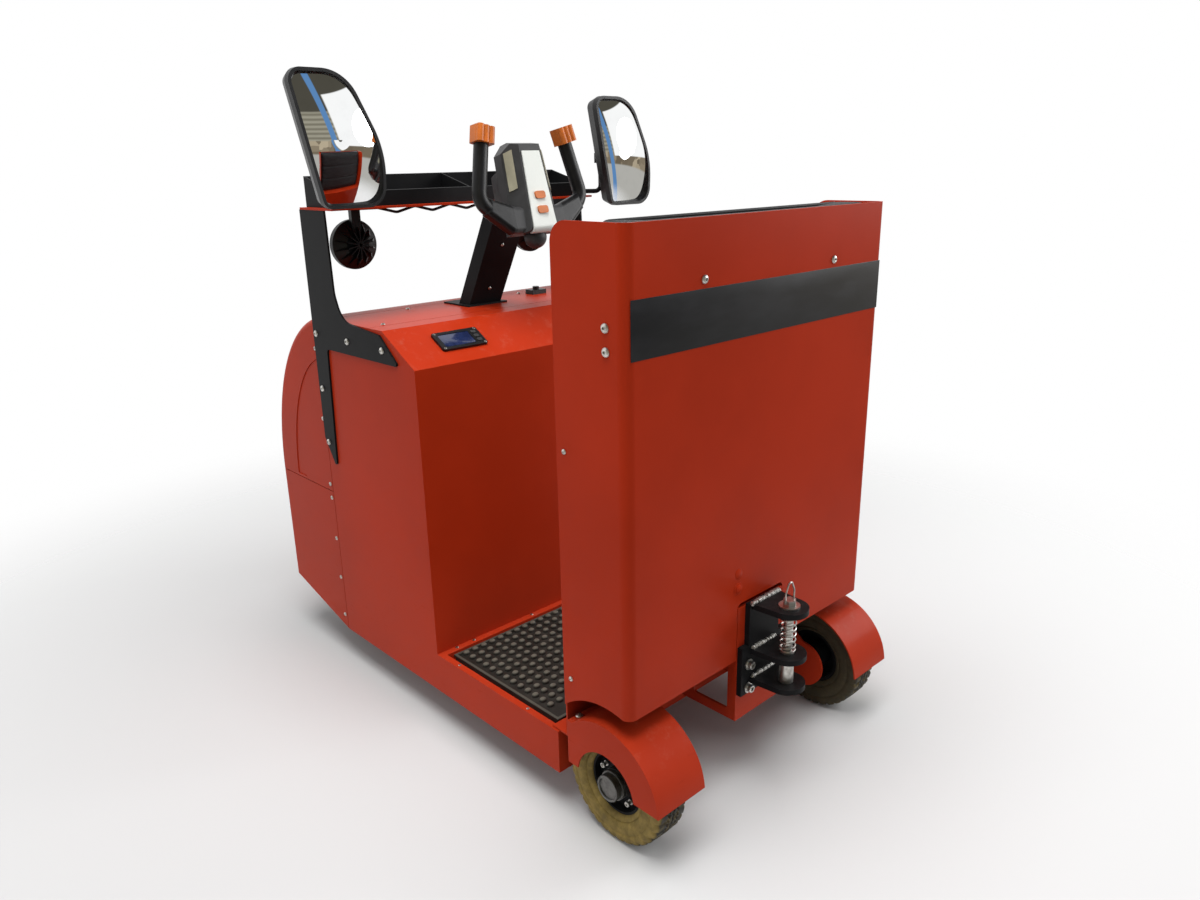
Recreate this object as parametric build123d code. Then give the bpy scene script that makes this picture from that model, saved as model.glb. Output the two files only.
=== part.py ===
from build123d import *
import os
from math import atan2, cos, degrees, hypot, radians, sin, sqrt

# Stand-on electric baggage tug. Millimetres, +X forward, +Y left, +Z up,
# origin on the floor under the middle of the machine's box.

# Lengths forward of the backrest's rear face; each bay starts where the one before it ends
hitch_reach = 112.0
flange_depth = 180.0
sill_gap = 24.0
wheel_back = 143.0
cross_depth = 26.0
platform_length = 434.0
slope_run = 122.0
lid_run = 56.0
cover_run = 189.0
nose_lap = 71.0
nose_run = 292.0
sill_end = flange_depth + sill_gap
hub_ahead = sill_end - wheel_back
dash_ahead = sill_end + platform_length
crest_ahead = dash_ahead + slope_run
lid_seam = crest_ahead + lid_run
top_seam = lid_seam + cover_run
nose_seam = top_seam + nose_lap
nose_reach = nose_seam + nose_run
rear_face_x = (hitch_reach - nose_reach) / 2

# Heights, built up from the sill
sill_bottom = 87.0
sill_height = 99.0
mat_depth = 20.0
dash_height = 686.0
slope_rise = 72.0
chin_height = 398.0
chin_rise = 79.0
backrest_gap = 115.0
backrest_height = 901.0
kick_height = 454.0
pillar_rise = 253.0
platform_top = sill_bottom + sill_height
floor_top = platform_top - mat_depth
dash_corner = platform_top + dash_height
body_top = dash_corner + slope_rise
nose_break = sill_bottom + chin_height
nose_lip = sill_bottom + chin_rise
backrest_bottom = platform_top + backrest_gap
backrest_top = backrest_bottom + backrest_height
kick_top = platform_top + kick_height
pillar_top = body_top + pillar_rise

# Widths, sheet and clearances
body_half = 393.0
flange_inset = 0.5
sheet = 4.0
plate = 6.0
seam_gap = 2.0
seat_gap = 0.3
over = 1.0
panel_half = body_half - flange_inset
inner_half = body_half - sheet

# Step, its mat and the sill's lip
lip_width = 12.0
foot_flange = 18.0
mat_below = 2.0
mat_side_gap = 28.0
mat_rear_gap = 12.0
mat_front_gap = 3.0

# Backrest, kick panel and pad
panel_bend = 21.0
flange_corner = 38.0
arch_gap = 53.0
notch_gap = 2.0
notch_rise = 6.0
notch_corner = 12.0
kick_step = 2.0
kick_flange = 44.0
pad_thick = 114.0
pad_rise = 10.0
pad_clear = 2.0
pad_edge = 18.0
kick_front = flange_depth + kick_step

# Rear wheels, stub axles and fenders
tyre_radius = 127.0
tyre_half = 41.0
tyre_bead = 66.0
tyre_shoulder = 12.0
tyre_bulge = 27.0
bead_half = 29.5
wheel_inset = 53.0
disc_offset = 12.0
disc_thick = 8.0
rim_half = 28.7
rim_wall = 5.0
hub_radius = 31.0
hub_out = 40.0
hub_in = 34.0
groove_out = 30.0
groove_width = 3.0
groove_depth = 2.0
cap_radius = 27.5
cap_out = 14.0
cap_wall = 8.0
cap_dish = 3.0
cap_rim = 5.0
stub_radius = 12.5
stub_flange = 42.0
stub_flange_thick = 8.0
stub_end_gap = 1.0
fender_out = 7.0
fender_gap = 15.0
fender_run = 105.0
fender_skirt = 12.0
fender_rise = 109.0
fender_sheet = 3.0
hub_window = 78.0
wheel_plate_end = 56.0
ear_length = 41.0
ear_setback = 12.0
wheel_clear = 31.0
hub_z = tyre_radius
wheel_mid = body_half - wheel_inset
fender_inner = wheel_mid - tyre_half - wheel_clear
fender_half = body_half + fender_out
fender_front = hub_ahead + fender_run
fender_top = hub_z + fender_rise
fender_bottom = hub_z + fender_skirt

# Tow bracket and hitch
bracket_half = 75.0
bracket_drop = 31.0
bracket_depth = 136.0
bracket_below = 4.0
window_wall = 22.0
window_corner = 6.0
hitch_rise = 32.0
hitch_height = 206.0
hitch_thick = 12.0
hitch_upper_half = 51.0
hitch_lower_half = 73.0
hitch_step_rise = 112.0
jaw_low_rise = 29.0
jaw_mid_rise = 97.0
jaw_top_rise = 201.0
jaw_thick = 12.0
jaw_radius = 40.0
jaw_root_inset = 6.0
bolt_half = 49.0
bolt_low_rise = 14.0
bolt_high_rise = 69.0
bolt_hole = 6.0
pin_radius = 15.0
rod_radius = 10.0
pin_below = 4.0
pin_chamfer = 2.0
shoulder_lift = 3.0
nut_across = 24.0
nut_high = 12.0
washer_radius = 22.0
washer_thick = 3.0
ring_wire = 1.8
ring_half = 15.0
ring_high = 44.0
ring_bend = 8.2
spring_wire = 3.0
spring_radius = 15.5
bracket_bottom = platform_top - bracket_drop
hitch_bottom = platform_top + hitch_rise
hitch_step = hitch_bottom + hitch_step_rise
hitch_top = hitch_bottom + hitch_height
bracket_top = hitch_top - bracket_below
jaw_low = hitch_bottom + jaw_low_rise
jaw_mid = hitch_bottom + jaw_mid_rise
jaw_top = hitch_bottom + jaw_top_rise
bolt_rows = (hitch_bottom + bolt_low_rise, hitch_bottom + bolt_high_rise)
pin_ahead = jaw_radius - hitch_reach

# Nose
nose_edge = 16.0
nose_crown = 25.0
crescent_outer = 98.0
crescent_inner = 148.0
crescent_depth = 2.0
crescent_lift = 8.0
nose_start = top_seam + nose_crown

# Pillars
pillar_thick = 5.0
pillar_set = 45.0
pillar_lap = 2.0
pillar_draft = 6.0
pillar_waist = 64.0
pillar_flare = 30.0
flare_lift = 4.0
wing_shoulder = 6.0
wing_drop = 10.0
wing_reach = 66.0
wing_under = 2.0
stem_width = 62.0
pillar_drop = 384.0
foot_width = 47.0
foot_slope = 75.0
flare_bend = 60.0
stem_corner = 10.0
wing_corner = 5.0
pillar_rear = top_seam - pillar_set
pillar_front = nose_seam + pillar_lap

# Shelf, tray, lamps and their lead
shelf_set = 43.0
shelf_back = 7.0
shelf_thick = 5.0
shelf_out = 7.0
tray_in = 16.0
tray_setback = 22.0
tray_front_gap = 4.0
tray_low = 35.0
tray_high = 70.0
tray_wall = 4.0
lamp_in = 121.0
lamp_drop = 88.0
lamp_set = 9.0
lamp_radius = 60.0
lamp_depth = 46.0
bezel_depth = 16.0
bezel_edge = 4.0
bowl_step = 8.0
bowl_radius = 30.0
bowl_depth = 32.0
fin_thick = 3.0
fin_root = 4.0
fin_count = 14
lamp_stem_half = 12.0
lamp_stem_front = 20.0
lamp_stem_back = 34.0
lead_radius = 3.5
lead_sag = 13.0
lead_bend = 26.0
lead_waves = 4
shelf_rear = pillar_rear - shelf_set
shelf_front = pillar_front - shelf_back
shelf_half = body_half + shelf_out
tray_half = shelf_half - tray_in
lamp_y = shelf_half - lamp_in
lamp_z = pillar_top - lamp_drop
lamp_face = shelf_front - lamp_set

# Mirrors; the corner table holds shares of half width and half height, and radii as shares of the width
mirror_set = 111.0
mirror_out = 21.0
mirror_left_rise = 148.0
mirror_right_rise = 119.0
mirror_width = 212.0
mirror_height = 278.0
mirror_rim = 16.0
mirror_back = 34.0
mirror_taper = 18.0
mirror_soft = 9.0
mirror_frame = 7.0
glass_thick = 3.0
glass_bed = 3.0
glass_dome = 2500.0
arm_radius = 6.0
arm_in = 8.0
arm_root_in = 30.0
arm_out = 30.0
arm_gap = 10.0
arm_lift = 12.0
arm_rise = 108.0
arm_bend = 16.0
clamp_half = 11.0
clamp_wall = 6.0
clamp_top = 8.0
clamp_high = 26.0
mirror_corners = (
    (-1.0, 1.0, 0.13),
    (0.25, 1.0, 0.42),
    (1.0, -0.14, 0.94),
    (0.94, -1.0, 0.22),
    (-0.45, -1.0, 0.11),
)
mirror_ahead = shelf_rear - mirror_set
mirror_y = shelf_half + mirror_out
mirror_left_z = pillar_top + mirror_left_rise
mirror_right_z = pillar_top + mirror_right_rise

# Column and neck
column_set = 100.0
column_lean = 29.0
column_half = 50.0
column_length = 250.0
column_flange = 40.0
column_root = 60.0
column_foot_rear = 14.0
column_foot_front = 96.0
column_foot_side = 12.0
axis_inset = 24.0
bearing_length = 56.0
neck_radius = 12.0
neck_length = 139.0
neck_start = 4.0
collar_radius = 18.0
collar_thick = 10.0
column_base = top_seam - column_set

# Steering head, drawn as the driver sees it: x to the right, y up, z towards the driver
head_reach = 153.8
head_drop = 27.3
head_lean = 15.3
console_low = 5.0
console_height = 199.0
face_low_half = 40.0
face_top_half = 30.0
console_bevel = 33.0
console_brow = 12.0
console_depth = 58.0
console_roll = 11.0
console_edge = 3.0
console_corner = 26.0
hump_half = 62.0
hump_top_half = 56.0
hump_low = 40.0
hump_top = 152.0
hump_depth = 44.0
hump_taper = 10.0
boss_radius = 27.0
boss_low = 12.0
boss_back = 43.0
arm_front = 9.0
arm_root_top = 56.0
arm_low_half = 84.0
arm_end_x = 147.0
arm_end_low = 43.0
arm_end_x_top = 138.0
arm_end_top = 81.0
arm_root_half = 64.0
arm_soft = 12.0
grip_seam = 75.0
grip_radius = 17.0
grip_start_x = 104.0
grip_start_y = 38.0
grip_knee_x = 156.0
grip_knee_y = 70.0
grip_bend = 36.0
grip_tip_x = 125.0
grip_tip_y = 198.0
grip_tip_fore = 12.0
cap_wide = 46.0
cap_deep = 34.0
cap_length = 38.0
cap_corner = 7.0
cap_lobe = 8.5
cap_lobe_pitch = 14.5
cap_lobe_count = 3
fascia_thick = 3.0
fascia_top = 178.0
fascia_low_half = 36.0
fascia_top_half = 26.0
fascia_tail = 15.0
button_wide = 30.0
button_high = 17.0
button_corner = 6.0
button_rise = 4.0
button_low_y = 42.0
button_pitch = 34.0
window_y = 138.0
window_half_high = 44.0
window_half_wide = 10.5
window_skew = 3.0
window_share = 0.6
window_thick = 2.0

# Gauge on the dash and latch on the lid
gauge_in = 163.0
gauge_wide = 123.0
gauge_high = 59.0
gauge_corner = 5.0
gauge_thick = 6.0
screen_wide = 84.0
screen_high = 42.0
screen_shift = 8.0
screen_depth = 2.0
latch_set = 53.0
latch_in = 181.0
latch_half_long = 16.0
latch_half_wide = 24.0
latch_thick = 12.0
latch_knob = 9.0
latch_knob_high = 8.0

# Drive unit and battery
drive_radius = 115.0
drive_half = 38.0
drive_headroom = 100.0
drive_plate_thick = 12.0
drive_bore = 85.0
tread_edge = 6.0
dish_width = 16.0
dish_depth = 10.0
pivot_back = 218.0
bulkhead_back = 165.0
turntable_radius = 105.0
turntable_thick = 20.0
spigot_radius = 60.0
motor_radius = 78.0
motor_length = 170.0
motor_edge = 8.0
case_thick = 44.0
case_gap = 10.0
case_top_half = 62.0
case_low_half = 50.0
case_round = 58.0
drive_shaft = 20.0
shaft_short = 4.0
battery_length = 300.0
battery_inset = 89.0
battery_height = 390.0
battery_gap = 14.0
drive_plate_z = 2 * drive_radius + drive_headroom
pivot_ahead = nose_reach - pivot_back
bulkhead_ahead = pivot_ahead - bulkhead_back
battery_half = inner_half - battery_inset


def ahead(distance):
    """X of a place given as a distance forward of the backrest's rear face."""
    return rear_face_x + distance


def outline(points, radius=0):
    """Closed flat face through the points, with rounded corners."""
    return make_face(FilletPolyline(*points, radius=radius, close=True))


def across(face, y_low, y_high):
    """Solid of a face drawn in X and Z, from y_low to y_high."""
    return extrude(Plane.XZ.offset(-y_high) * face, amount=y_high - y_low)


def upward(face, z_low, z_high):
    """Solid of a face drawn in X and Y, from z_low to z_high."""
    return extrude(Plane.XY.offset(z_low) * face, amount=z_high - z_low)


def block(x_span, y_span, z_span):
    """Box between three pairs of limits."""
    spans = (x_span, y_span, z_span)
    size = [high - low for low, high in spans]
    middle = [(high + low) / 2 for low, high in spans]
    return Pos(*middle) * Box(*size)


def axis_cylinder(start, direction, radius, length):
    """Round bar from a point along a direction."""
    return extrude(Plane(origin=start, z_dir=direction) * Circle(radius), amount=length)


def round_wire(path, radius):
    """Wire of a round section along a path."""
    return sweep(Plane(origin=path @ 0, z_dir=path % 0) * Circle(radius), path=path)


def bent_sheet(points, thickness):
    """Flat face of a sheet folded along the points, thickness to the right of travel."""
    shifted = []
    for point in points:
        normals = []
        for start, end in zip(points, points[1:]):
            if point in (start, end):
                run = (end[0] - start[0], end[1] - start[1])
                size = hypot(*run)
                normals.append((run[1] / size, -run[0] / size))
        mean = (sum(n[0] for n in normals), sum(n[1] for n in normals))
        share = thickness * len(normals) / (mean[0] ** 2 + mean[1] ** 2)
        shifted.append((point[0] + mean[0] * share, point[1] + mean[1] * share))
    return make_face(Polyline(*points, *reversed(shifted), close=True))


def mirrored(shape):
    """The same piece on the right-hand side."""
    return mirror(shape, about=Plane.XZ)


# Welded frame: floor with its crossmember and wheel plates, tow bracket, drive deck
def chassis():
    cross_front = ahead(sill_end + cross_depth)
    floor = block(
        (cross_front, ahead(bulkhead_ahead)), (-inner_half, inner_half), (floor_top - plate, floor_top)
    )
    cross = block((ahead(sill_end), cross_front), (-inner_half, inner_half), (sill_bottom, platform_top))
    ledge = block(
        (ahead(dash_ahead - foot_flange), ahead(dash_ahead)),
        (-inner_half, inner_half),
        (floor_top, platform_top - sheet),
    )
    arm = outline(
        [
            (ahead(sill_end), sill_bottom),
            (ahead(sill_end), platform_top - sheet),
            (ahead(fender_front + ear_setback), platform_top - sheet),
            (ahead(fender_front), fender_top),
            (ahead(fender_front - ear_length), fender_top),
            (ahead(hub_ahead), hub_z + wheel_plate_end),
            (ahead(hub_ahead), hub_z - wheel_plate_end),
        ]
    )
    arm += Pos(ahead(hub_ahead), hub_z) * Circle(wheel_plate_end)
    wheel_plate = across(arm, fender_inner - plate, fender_inner)
    return floor + cross + ledge + wheel_plate + mirrored(wheel_plate)


def tow_bracket():
    cheek = outline(
        [
            (ahead(0), bracket_bottom),
            (ahead(sill_end), bracket_bottom),
            (ahead(sill_end), platform_top - sheet),
            (ahead(bracket_depth + ear_setback), platform_top - sheet),
            (ahead(bracket_depth), bracket_top),
            (ahead(0), bracket_top),
        ]
    )
    window = Pos(ahead(bracket_depth / 2), (bracket_bottom + hitch_step) / 2) * RectangleRounded(
        bracket_depth - 2 * window_wall, hitch_step - bracket_bottom - 2 * window_wall, window_corner
    )
    cheek_plate = across(cheek - window, bracket_half - plate, bracket_half)
    face = block((ahead(0), ahead(plate)), (-bracket_half, bracket_half), (bracket_bottom, bracket_top))
    return cheek_plate + mirrored(cheek_plate) + face - bolt_holes(ahead(-over), plate + 2 * over)


def bolt_holes(start_x, length):
    """Drills for the hitch's four screws."""
    drills = Part()
    for y in (-bolt_half, bolt_half):
        for z in bolt_rows:
            drills += axis_cylinder((start_x, y, z), (1, 0, 0), bolt_hole, length)
    return drills


def drive_deck():
    bulkhead = block(
        (ahead(bulkhead_ahead), ahead(bulkhead_ahead + plate)),
        (-inner_half, inner_half),
        (sill_bottom, drive_plate_z + drive_plate_thick),
    )
    deck = block(
        (ahead(bulkhead_ahead), ahead(pivot_ahead + turntable_radius + plate)),
        (-inner_half, inner_half),
        (drive_plate_z, drive_plate_z + drive_plate_thick),
    )
    hole = Pos(ahead(pivot_ahead), 0) * Circle(spigot_radius + seat_gap)
    return bulkhead + deck - upward(hole, drive_plate_z - over, drive_plate_z + drive_plate_thick + over)


# Outer body sheets
def side_panel():
    shape = outline(
        [
            (ahead(sill_end), sill_bottom),
            (ahead(nose_seam), sill_bottom),
            (ahead(nose_seam), body_top),
            (ahead(crest_ahead), body_top),
            (ahead(dash_ahead), dash_corner),
            (ahead(dash_ahead), platform_top),
            (ahead(sill_end), platform_top),
        ]
    )
    lip = block(
        (ahead(sill_end + cross_depth), ahead(dash_ahead - foot_flange)),
        (inner_half - lip_width, inner_half),
        (platform_top - sheet, platform_top),
    )
    return across(shape, inner_half, body_half) + lip


def dash_panel():
    fold = [
        (ahead(dash_ahead - foot_flange), platform_top),
        (ahead(dash_ahead), platform_top),
        (ahead(dash_ahead), dash_corner),
        (ahead(crest_ahead), body_top),
        (ahead(lid_seam), body_top),
    ]
    return across(bent_sheet(fold, sheet), -inner_half, inner_half)


def top_cover():
    return block(
        (ahead(lid_seam + seam_gap), ahead(top_seam)),
        (-inner_half, inner_half),
        (body_top - sheet, body_top),
    )


def nose_face(inset, low):
    """Side view of the nose, inside its skin by inset and down to the height low."""
    reach = nose_reach - nose_start - inset
    rise = body_top - nose_break - inset
    back = ahead(top_seam) - sheet
    curve = EllipticalCenterArc((ahead(nose_start), nose_break), reach, rise, start_angle=0, arc_size=90)
    sides = Polyline(
        (ahead(nose_start), nose_break + rise),
        (back, nose_break + rise),
        (back, low),
        (ahead(nose_reach) - inset, low),
        (ahead(nose_reach) - inset, nose_break),
    )
    return make_face(Curve() + [curve, sides])


def nose_form(inset):
    """Solid of the nose inside its skin by inset, with rounded side edges."""
    low = sill_bottom - over - inset
    half = body_half - inset
    solid = across(nose_face(inset, low), -half, half)
    back = ahead(top_seam) - sheet + over
    round_edges = [
        edge
        for edge in solid.edges()
        if abs(edge.center().Y) > half - over and edge.center().X > back and edge.center().Z > low + over
    ]
    return fillet(round_edges, nose_edge - inset)


def nose_shell():
    return nose_form(0) - nose_form(sheet)


def nose_cover():
    far = ahead(nose_reach) + over
    shell = nose_shell() & block(
        (ahead(top_seam + seam_gap), far), (-body_half, body_half), (nose_break + seam_gap / 2, body_top)
    )
    crescent = nose_face(crescent_outer, nose_break - over) - nose_face(crescent_inner, nose_break - 2 * over)
    scoop = across(crescent, body_half - crescent_depth, body_half + over)
    scoop &= block(
        (ahead(nose_seam), far), (0, body_half + over), (nose_break + crescent_lift, body_top)
    )
    side_gap = block(
        (ahead(top_seam) - over, ahead(nose_seam + seam_gap)),
        (inner_half - seat_gap, body_half + over),
        (sill_bottom, body_top + over),
    )
    for cut in (scoop, side_gap):
        shell -= cut
        shell -= mirrored(cut)
    return shell


def nose_panel():
    far = ahead(nose_reach) + over
    shell = nose_shell() & block(
        (ahead(nose_seam + seam_gap), far), (-body_half, body_half), (sill_bottom, nose_break - seam_gap / 2)
    )
    chin = outline(
        [
            (ahead(nose_seam), sill_bottom),
            (far, nose_lip),
            (far, sill_bottom - over),
            (ahead(nose_seam), sill_bottom - over),
        ]
    )
    return shell - across(chin, -body_half - over, body_half + over)


def floor_mat():
    return block(
        (ahead(sill_end + cross_depth + mat_rear_gap), ahead(dash_ahead - foot_flange - mat_front_gap)),
        (mat_side_gap - inner_half, inner_half - mat_side_gap),
        (floor_top, platform_top - mat_below),
    )


# Backrest
def rear_panel():
    inner = panel_half - sheet
    shell = block((ahead(0), ahead(flange_depth)), (-panel_half, panel_half), (hub_z, backrest_top))
    core = block(
        (ahead(sheet), ahead(flange_depth) + over), (-inner, inner), (hub_z - over, backrest_top + over)
    )
    shell = fillet(shell.edges().filter_by(Axis.Z).sort_by(Axis.X)[:2], panel_bend)
    shell -= fillet(core.edges().filter_by(Axis.Z).sort_by(Axis.X)[:2], panel_bend - sheet)
    arch = Pos(ahead(hub_ahead), hub_z) * Circle(tyre_radius + arch_gap)
    shell -= across(arch, -panel_half - over, panel_half + over)
    shell -= block(
        (ahead(-over), ahead(sheet + panel_bend)), (-panel_half, panel_half), (hub_z - over, backrest_bottom)
    )
    notch_half = bracket_half + notch_gap
    notch_top = hitch_top + notch_rise
    notch = outline(
        [
            (-notch_half, backrest_bottom - over),
            (notch_half, backrest_bottom - over),
            (notch_half, notch_top),
            (-notch_half, notch_top),
        ],
        [0, 0, notch_corner, notch_corner],
    )
    shell -= extrude(Plane.YZ.offset(ahead(-over)) * notch, amount=sheet + 2 * over)
    corners = [
        edge
        for edge in shell.edges().filter_by(Axis.Y)
        if edge.center().X > ahead(flange_depth) - over and edge.center().Z > backrest_top - over
    ]
    return fillet(corners, flange_corner)


def kick_panel():
    fold = [
        (ahead(panel_bend + pad_clear), kick_top),
        (ahead(kick_front), kick_top),
        (ahead(kick_front), platform_top + sheet),
        (ahead(kick_front + kick_flange), platform_top + sheet),
    ]
    half = panel_half - sheet
    return across(bent_sheet(fold, sheet), -half, half)


def back_pad():
    low_x = ahead(sheet) + seat_gap
    half = panel_half - panel_bend - pad_clear
    pad = block((low_x, low_x + pad_thick), (-half, half), (kick_top + seat_gap, backrest_top + pad_rise))
    return fillet(pad.edges().filter_by(lambda edge: edge.center().X > low_x + over), pad_edge)


# Rear wheels, stub axles and fenders
def turned_about_wheel(section, middle_y, x, z):
    """Solid of a half section drawn as radius and outward offset, turned about a wheel's axle."""
    return Pos(x, middle_y, z) * revolve(Plane.XY * make_face(Polyline(*section, close=True)), axis=Axis.Y)


def rear_tyre():
    half_section = [
        (tyre_bead, bead_half),
        (tyre_bead + tyre_bulge, tyre_half),
        (tyre_radius - tyre_shoulder, tyre_half),
        (tyre_radius, tyre_half - tyre_shoulder),
    ]
    section = half_section + [(radius, -out) for radius, out in reversed(half_section)]
    return turned_about_wheel(section, wheel_mid, ahead(hub_ahead), hub_z)


def rear_rim():
    bore = stub_radius + seat_gap
    lip = tyre_bead - seat_gap
    face = hub_out + cap_out
    section = [
        (bore, -hub_in),
        (hub_radius, -hub_in),
        (hub_radius, disc_offset - disc_thick),
        (lip - disc_thick, disc_offset - disc_thick),
        (lip - disc_thick, -rim_half),
        (lip, -rim_half),
        (lip, rim_half),
        (lip - rim_wall, rim_half),
        (lip - rim_wall, disc_offset),
        (hub_radius, disc_offset),
        (hub_radius, groove_out),
        (hub_radius - groove_depth, groove_out),
        (hub_radius - groove_depth, groove_out + groove_width),
        (hub_radius, groove_out + groove_width),
        (hub_radius, hub_out),
        (cap_radius, hub_out),
        (cap_radius, face),
        (cap_radius - cap_rim, face),
        (cap_radius - cap_rim, face - cap_dish),
        (0, face - cap_dish),
        (0, face - cap_wall),
        (bore, face - cap_wall),
    ]
    return turned_about_wheel(section, wheel_mid, ahead(hub_ahead), hub_z)


def stub_axle():
    start = (ahead(hub_ahead), fender_inner, hub_z)
    tip = wheel_mid + hub_out + cap_out - cap_wall - stub_end_gap
    flange = axis_cylinder(start, (0, 1, 0), stub_flange, stub_flange_thick)
    return flange + axis_cylinder(start, (0, 1, 0), stub_radius, tip - fender_inner)


def fender_face(inset):
    """Side view of a fender, inside its skin by inset."""
    radius = fender_radius() - inset
    front = ahead(fender_front) - inset
    rise = fender_rise - inset
    rear_angle = 180 - degrees(atan2(fender_skirt, sqrt(radius ** 2 - fender_skirt ** 2)))
    front_angle = degrees(atan2(rise, sqrt(radius ** 2 - rise ** 2)))
    arc = CenterArc((ahead(hub_ahead), hub_z), radius, front_angle, rear_angle - front_angle)
    rest = Polyline(arc @ 1, (front, fender_bottom), (front, hub_z + rise), arc @ 0)
    return make_face(Curve() + [arc, rest])


def fender_radius():
    return tyre_radius + fender_gap


def fender():
    skin_y = fender_half - fender_sheet
    shell = across(fender_face(0), fender_inner, fender_half)
    shell -= across(fender_face(fender_sheet), fender_inner - over, skin_y)
    shell -= block(
        (ahead(hub_ahead), ahead(fender_front) + over),
        (fender_inner - over, skin_y),
        (fender_bottom - over, fender_top - fender_sheet),
    )
    window = Pos(ahead(hub_ahead), hub_z) * Circle(hub_window)
    return shell - across(window, skin_y - over, fender_half + over)


# Tow hitch
def tow_hitch():
    back = ahead(0)
    face = ahead(-hitch_thick)
    pin_x = ahead(pin_ahead)
    base = block((face, back), (-hitch_upper_half, hitch_upper_half), (hitch_step, hitch_top))
    base += block((face, back), (-hitch_lower_half, hitch_lower_half), (hitch_bottom, hitch_step))
    base -= bolt_holes(face - over, hitch_thick + 2 * over)
    root_half = hitch_upper_half - jaw_root_inset
    jaw = make_face(
        Polyline(
            (face + over, -root_half),
            (pin_x, -jaw_radius),
            (pin_x, jaw_radius),
            (face + over, root_half),
            close=True,
        )
    )
    jaw += Pos(pin_x, 0) * Circle(jaw_radius)
    for level, radius in ((jaw_low, pin_radius), (jaw_mid, pin_radius), (jaw_top, rod_radius)):
        drilled = jaw - Pos(pin_x, 0) * Circle(radius + seat_gap)
        base += upward(drilled, level - jaw_thick / 2, level + jaw_thick / 2)
    return base


def hitch_pin():
    pin_x = ahead(pin_ahead)
    low = jaw_low - jaw_thick / 2 - pin_below
    shoulder = jaw_mid + jaw_thick / 2 + shoulder_lift
    seat = jaw_top + jaw_thick / 2 + seat_gap
    nut_low = seat + washer_thick
    pin = axis_cylinder((pin_x, 0, low), (0, 0, 1), pin_radius, shoulder - low)
    pin += axis_cylinder((pin_x, 0, low), (0, 0, 1), rod_radius, nut_low + nut_high - low)
    pin = chamfer(pin.faces().sort_by(Axis.Z)[0].edges(), pin_chamfer)
    pin += axis_cylinder((pin_x, 0, seat), (0, 0, 1), washer_radius, washer_thick)
    nut = Pos(pin_x, 0) * RegularPolygon(nut_across / 2, 6, major_radius=False)
    return pin + upward(nut, nut_low, nut_low + nut_high)


def pull_ring():
    foot = jaw_top + jaw_thick / 2 + seat_gap + washer_thick + nut_high / 2
    reach = nut_across / 2 + ring_wire
    path = FilletPolyline(
        (0, -reach, foot),
        (0, -ring_half, foot + ring_high / 2),
        (0, 0, foot + ring_high * 5 / 4),
        (0, ring_half, foot + ring_high / 2),
        (0, reach, foot),
        radius=ring_bend,
    )
    return Pos(ahead(pin_ahead), 0, 0) * round_wire(path, ring_wire)


def hitch_spring():
    low = jaw_mid + jaw_thick / 2 + shoulder_lift + seat_gap
    high = jaw_top - jaw_thick / 2 - seat_gap
    ring = Circle(spring_radius + spring_wire / 2) - Circle(spring_radius - spring_wire)
    return upward(Pos(ahead(pin_ahead), 0) * ring, low, high)


# Pillars, shelf, tray and lamps
def pillar():
    foot = body_top - pillar_drop
    corners = [
        ((pillar_front, pillar_top), 0),
        ((pillar_rear, pillar_top), 0),
        ((pillar_rear - pillar_draft, body_top + pillar_waist), flare_bend),
        ((pillar_rear - pillar_flare, body_top + flare_lift), flare_bend),
        ((crest_ahead + wing_shoulder, body_top - wing_drop), wing_corner),
        ((crest_ahead - wing_reach, dash_corner), wing_corner),
        ((pillar_front - stem_width, dash_corner - wing_under), stem_corner),
        ((pillar_front - foot_width, foot), wing_corner),
        ((pillar_front, foot + foot_slope), wing_corner),
    ]
    points = [(ahead(distance), z) for (distance, z), radius in corners]
    shape = outline(points, [radius for place, radius in corners])
    return across(shape, body_half, body_half + pillar_thick)


def shelf():
    return block(
        (ahead(shelf_rear), ahead(shelf_front)),
        (-shelf_half, shelf_half),
        (pillar_top, pillar_top + shelf_thick),
    )


def tray():
    low = pillar_top + shelf_thick
    rear = ahead(shelf_rear + tray_setback)
    front = ahead(shelf_front - tray_front_gap)
    side = outline([(rear, low), (front, low), (front, low + tray_high), (rear, low + tray_low)])
    box = across(side, -tray_half, tray_half)
    cell = block(
        (rear + tray_wall, front - tray_wall),
        (tray_wall / 2, tray_half - tray_wall),
        (low + tray_wall, low + tray_high + over),
    )
    return box - cell - mirrored(cell)


def work_lamp():
    face = ahead(lamp_face)
    section = Polyline(
        (0, 0),
        (lamp_radius - bezel_edge, 0),
        (lamp_radius, -bezel_edge),
        (lamp_radius, -bezel_depth),
        (lamp_radius - bowl_step, -bezel_depth - bezel_edge),
        (bowl_radius, -bowl_depth),
        (0, -bowl_depth),
        close=True,
    )
    bowl = revolve(Plane.XY * make_face(section), axis=Axis.Y)
    lamp = Pos(face, lamp_y, lamp_z) * Rot(0, 0, -90) * bowl
    fin = outline(
        [
            (face - bezel_depth - over, fin_root),
            (face - bezel_depth - over, lamp_radius - bezel_edge),
            (face - bowl_depth, lamp_radius - bezel_depth),
            (face - lamp_depth, bowl_radius + bezel_edge),
            (face - lamp_depth, fin_root),
        ]
    )
    for index in range(fin_count):
        blade = across(fin, -fin_thick / 2, fin_thick / 2)
        lamp += Pos(0, lamp_y, lamp_z) * Rot(360 / fin_count * index, 0, 0) * blade
    return lamp + block(
        (face - lamp_stem_back, face - lamp_stem_front),
        (lamp_y - lamp_stem_half, lamp_y + lamp_stem_half),
        (lamp_z + bowl_radius, pillar_top),
    )


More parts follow.
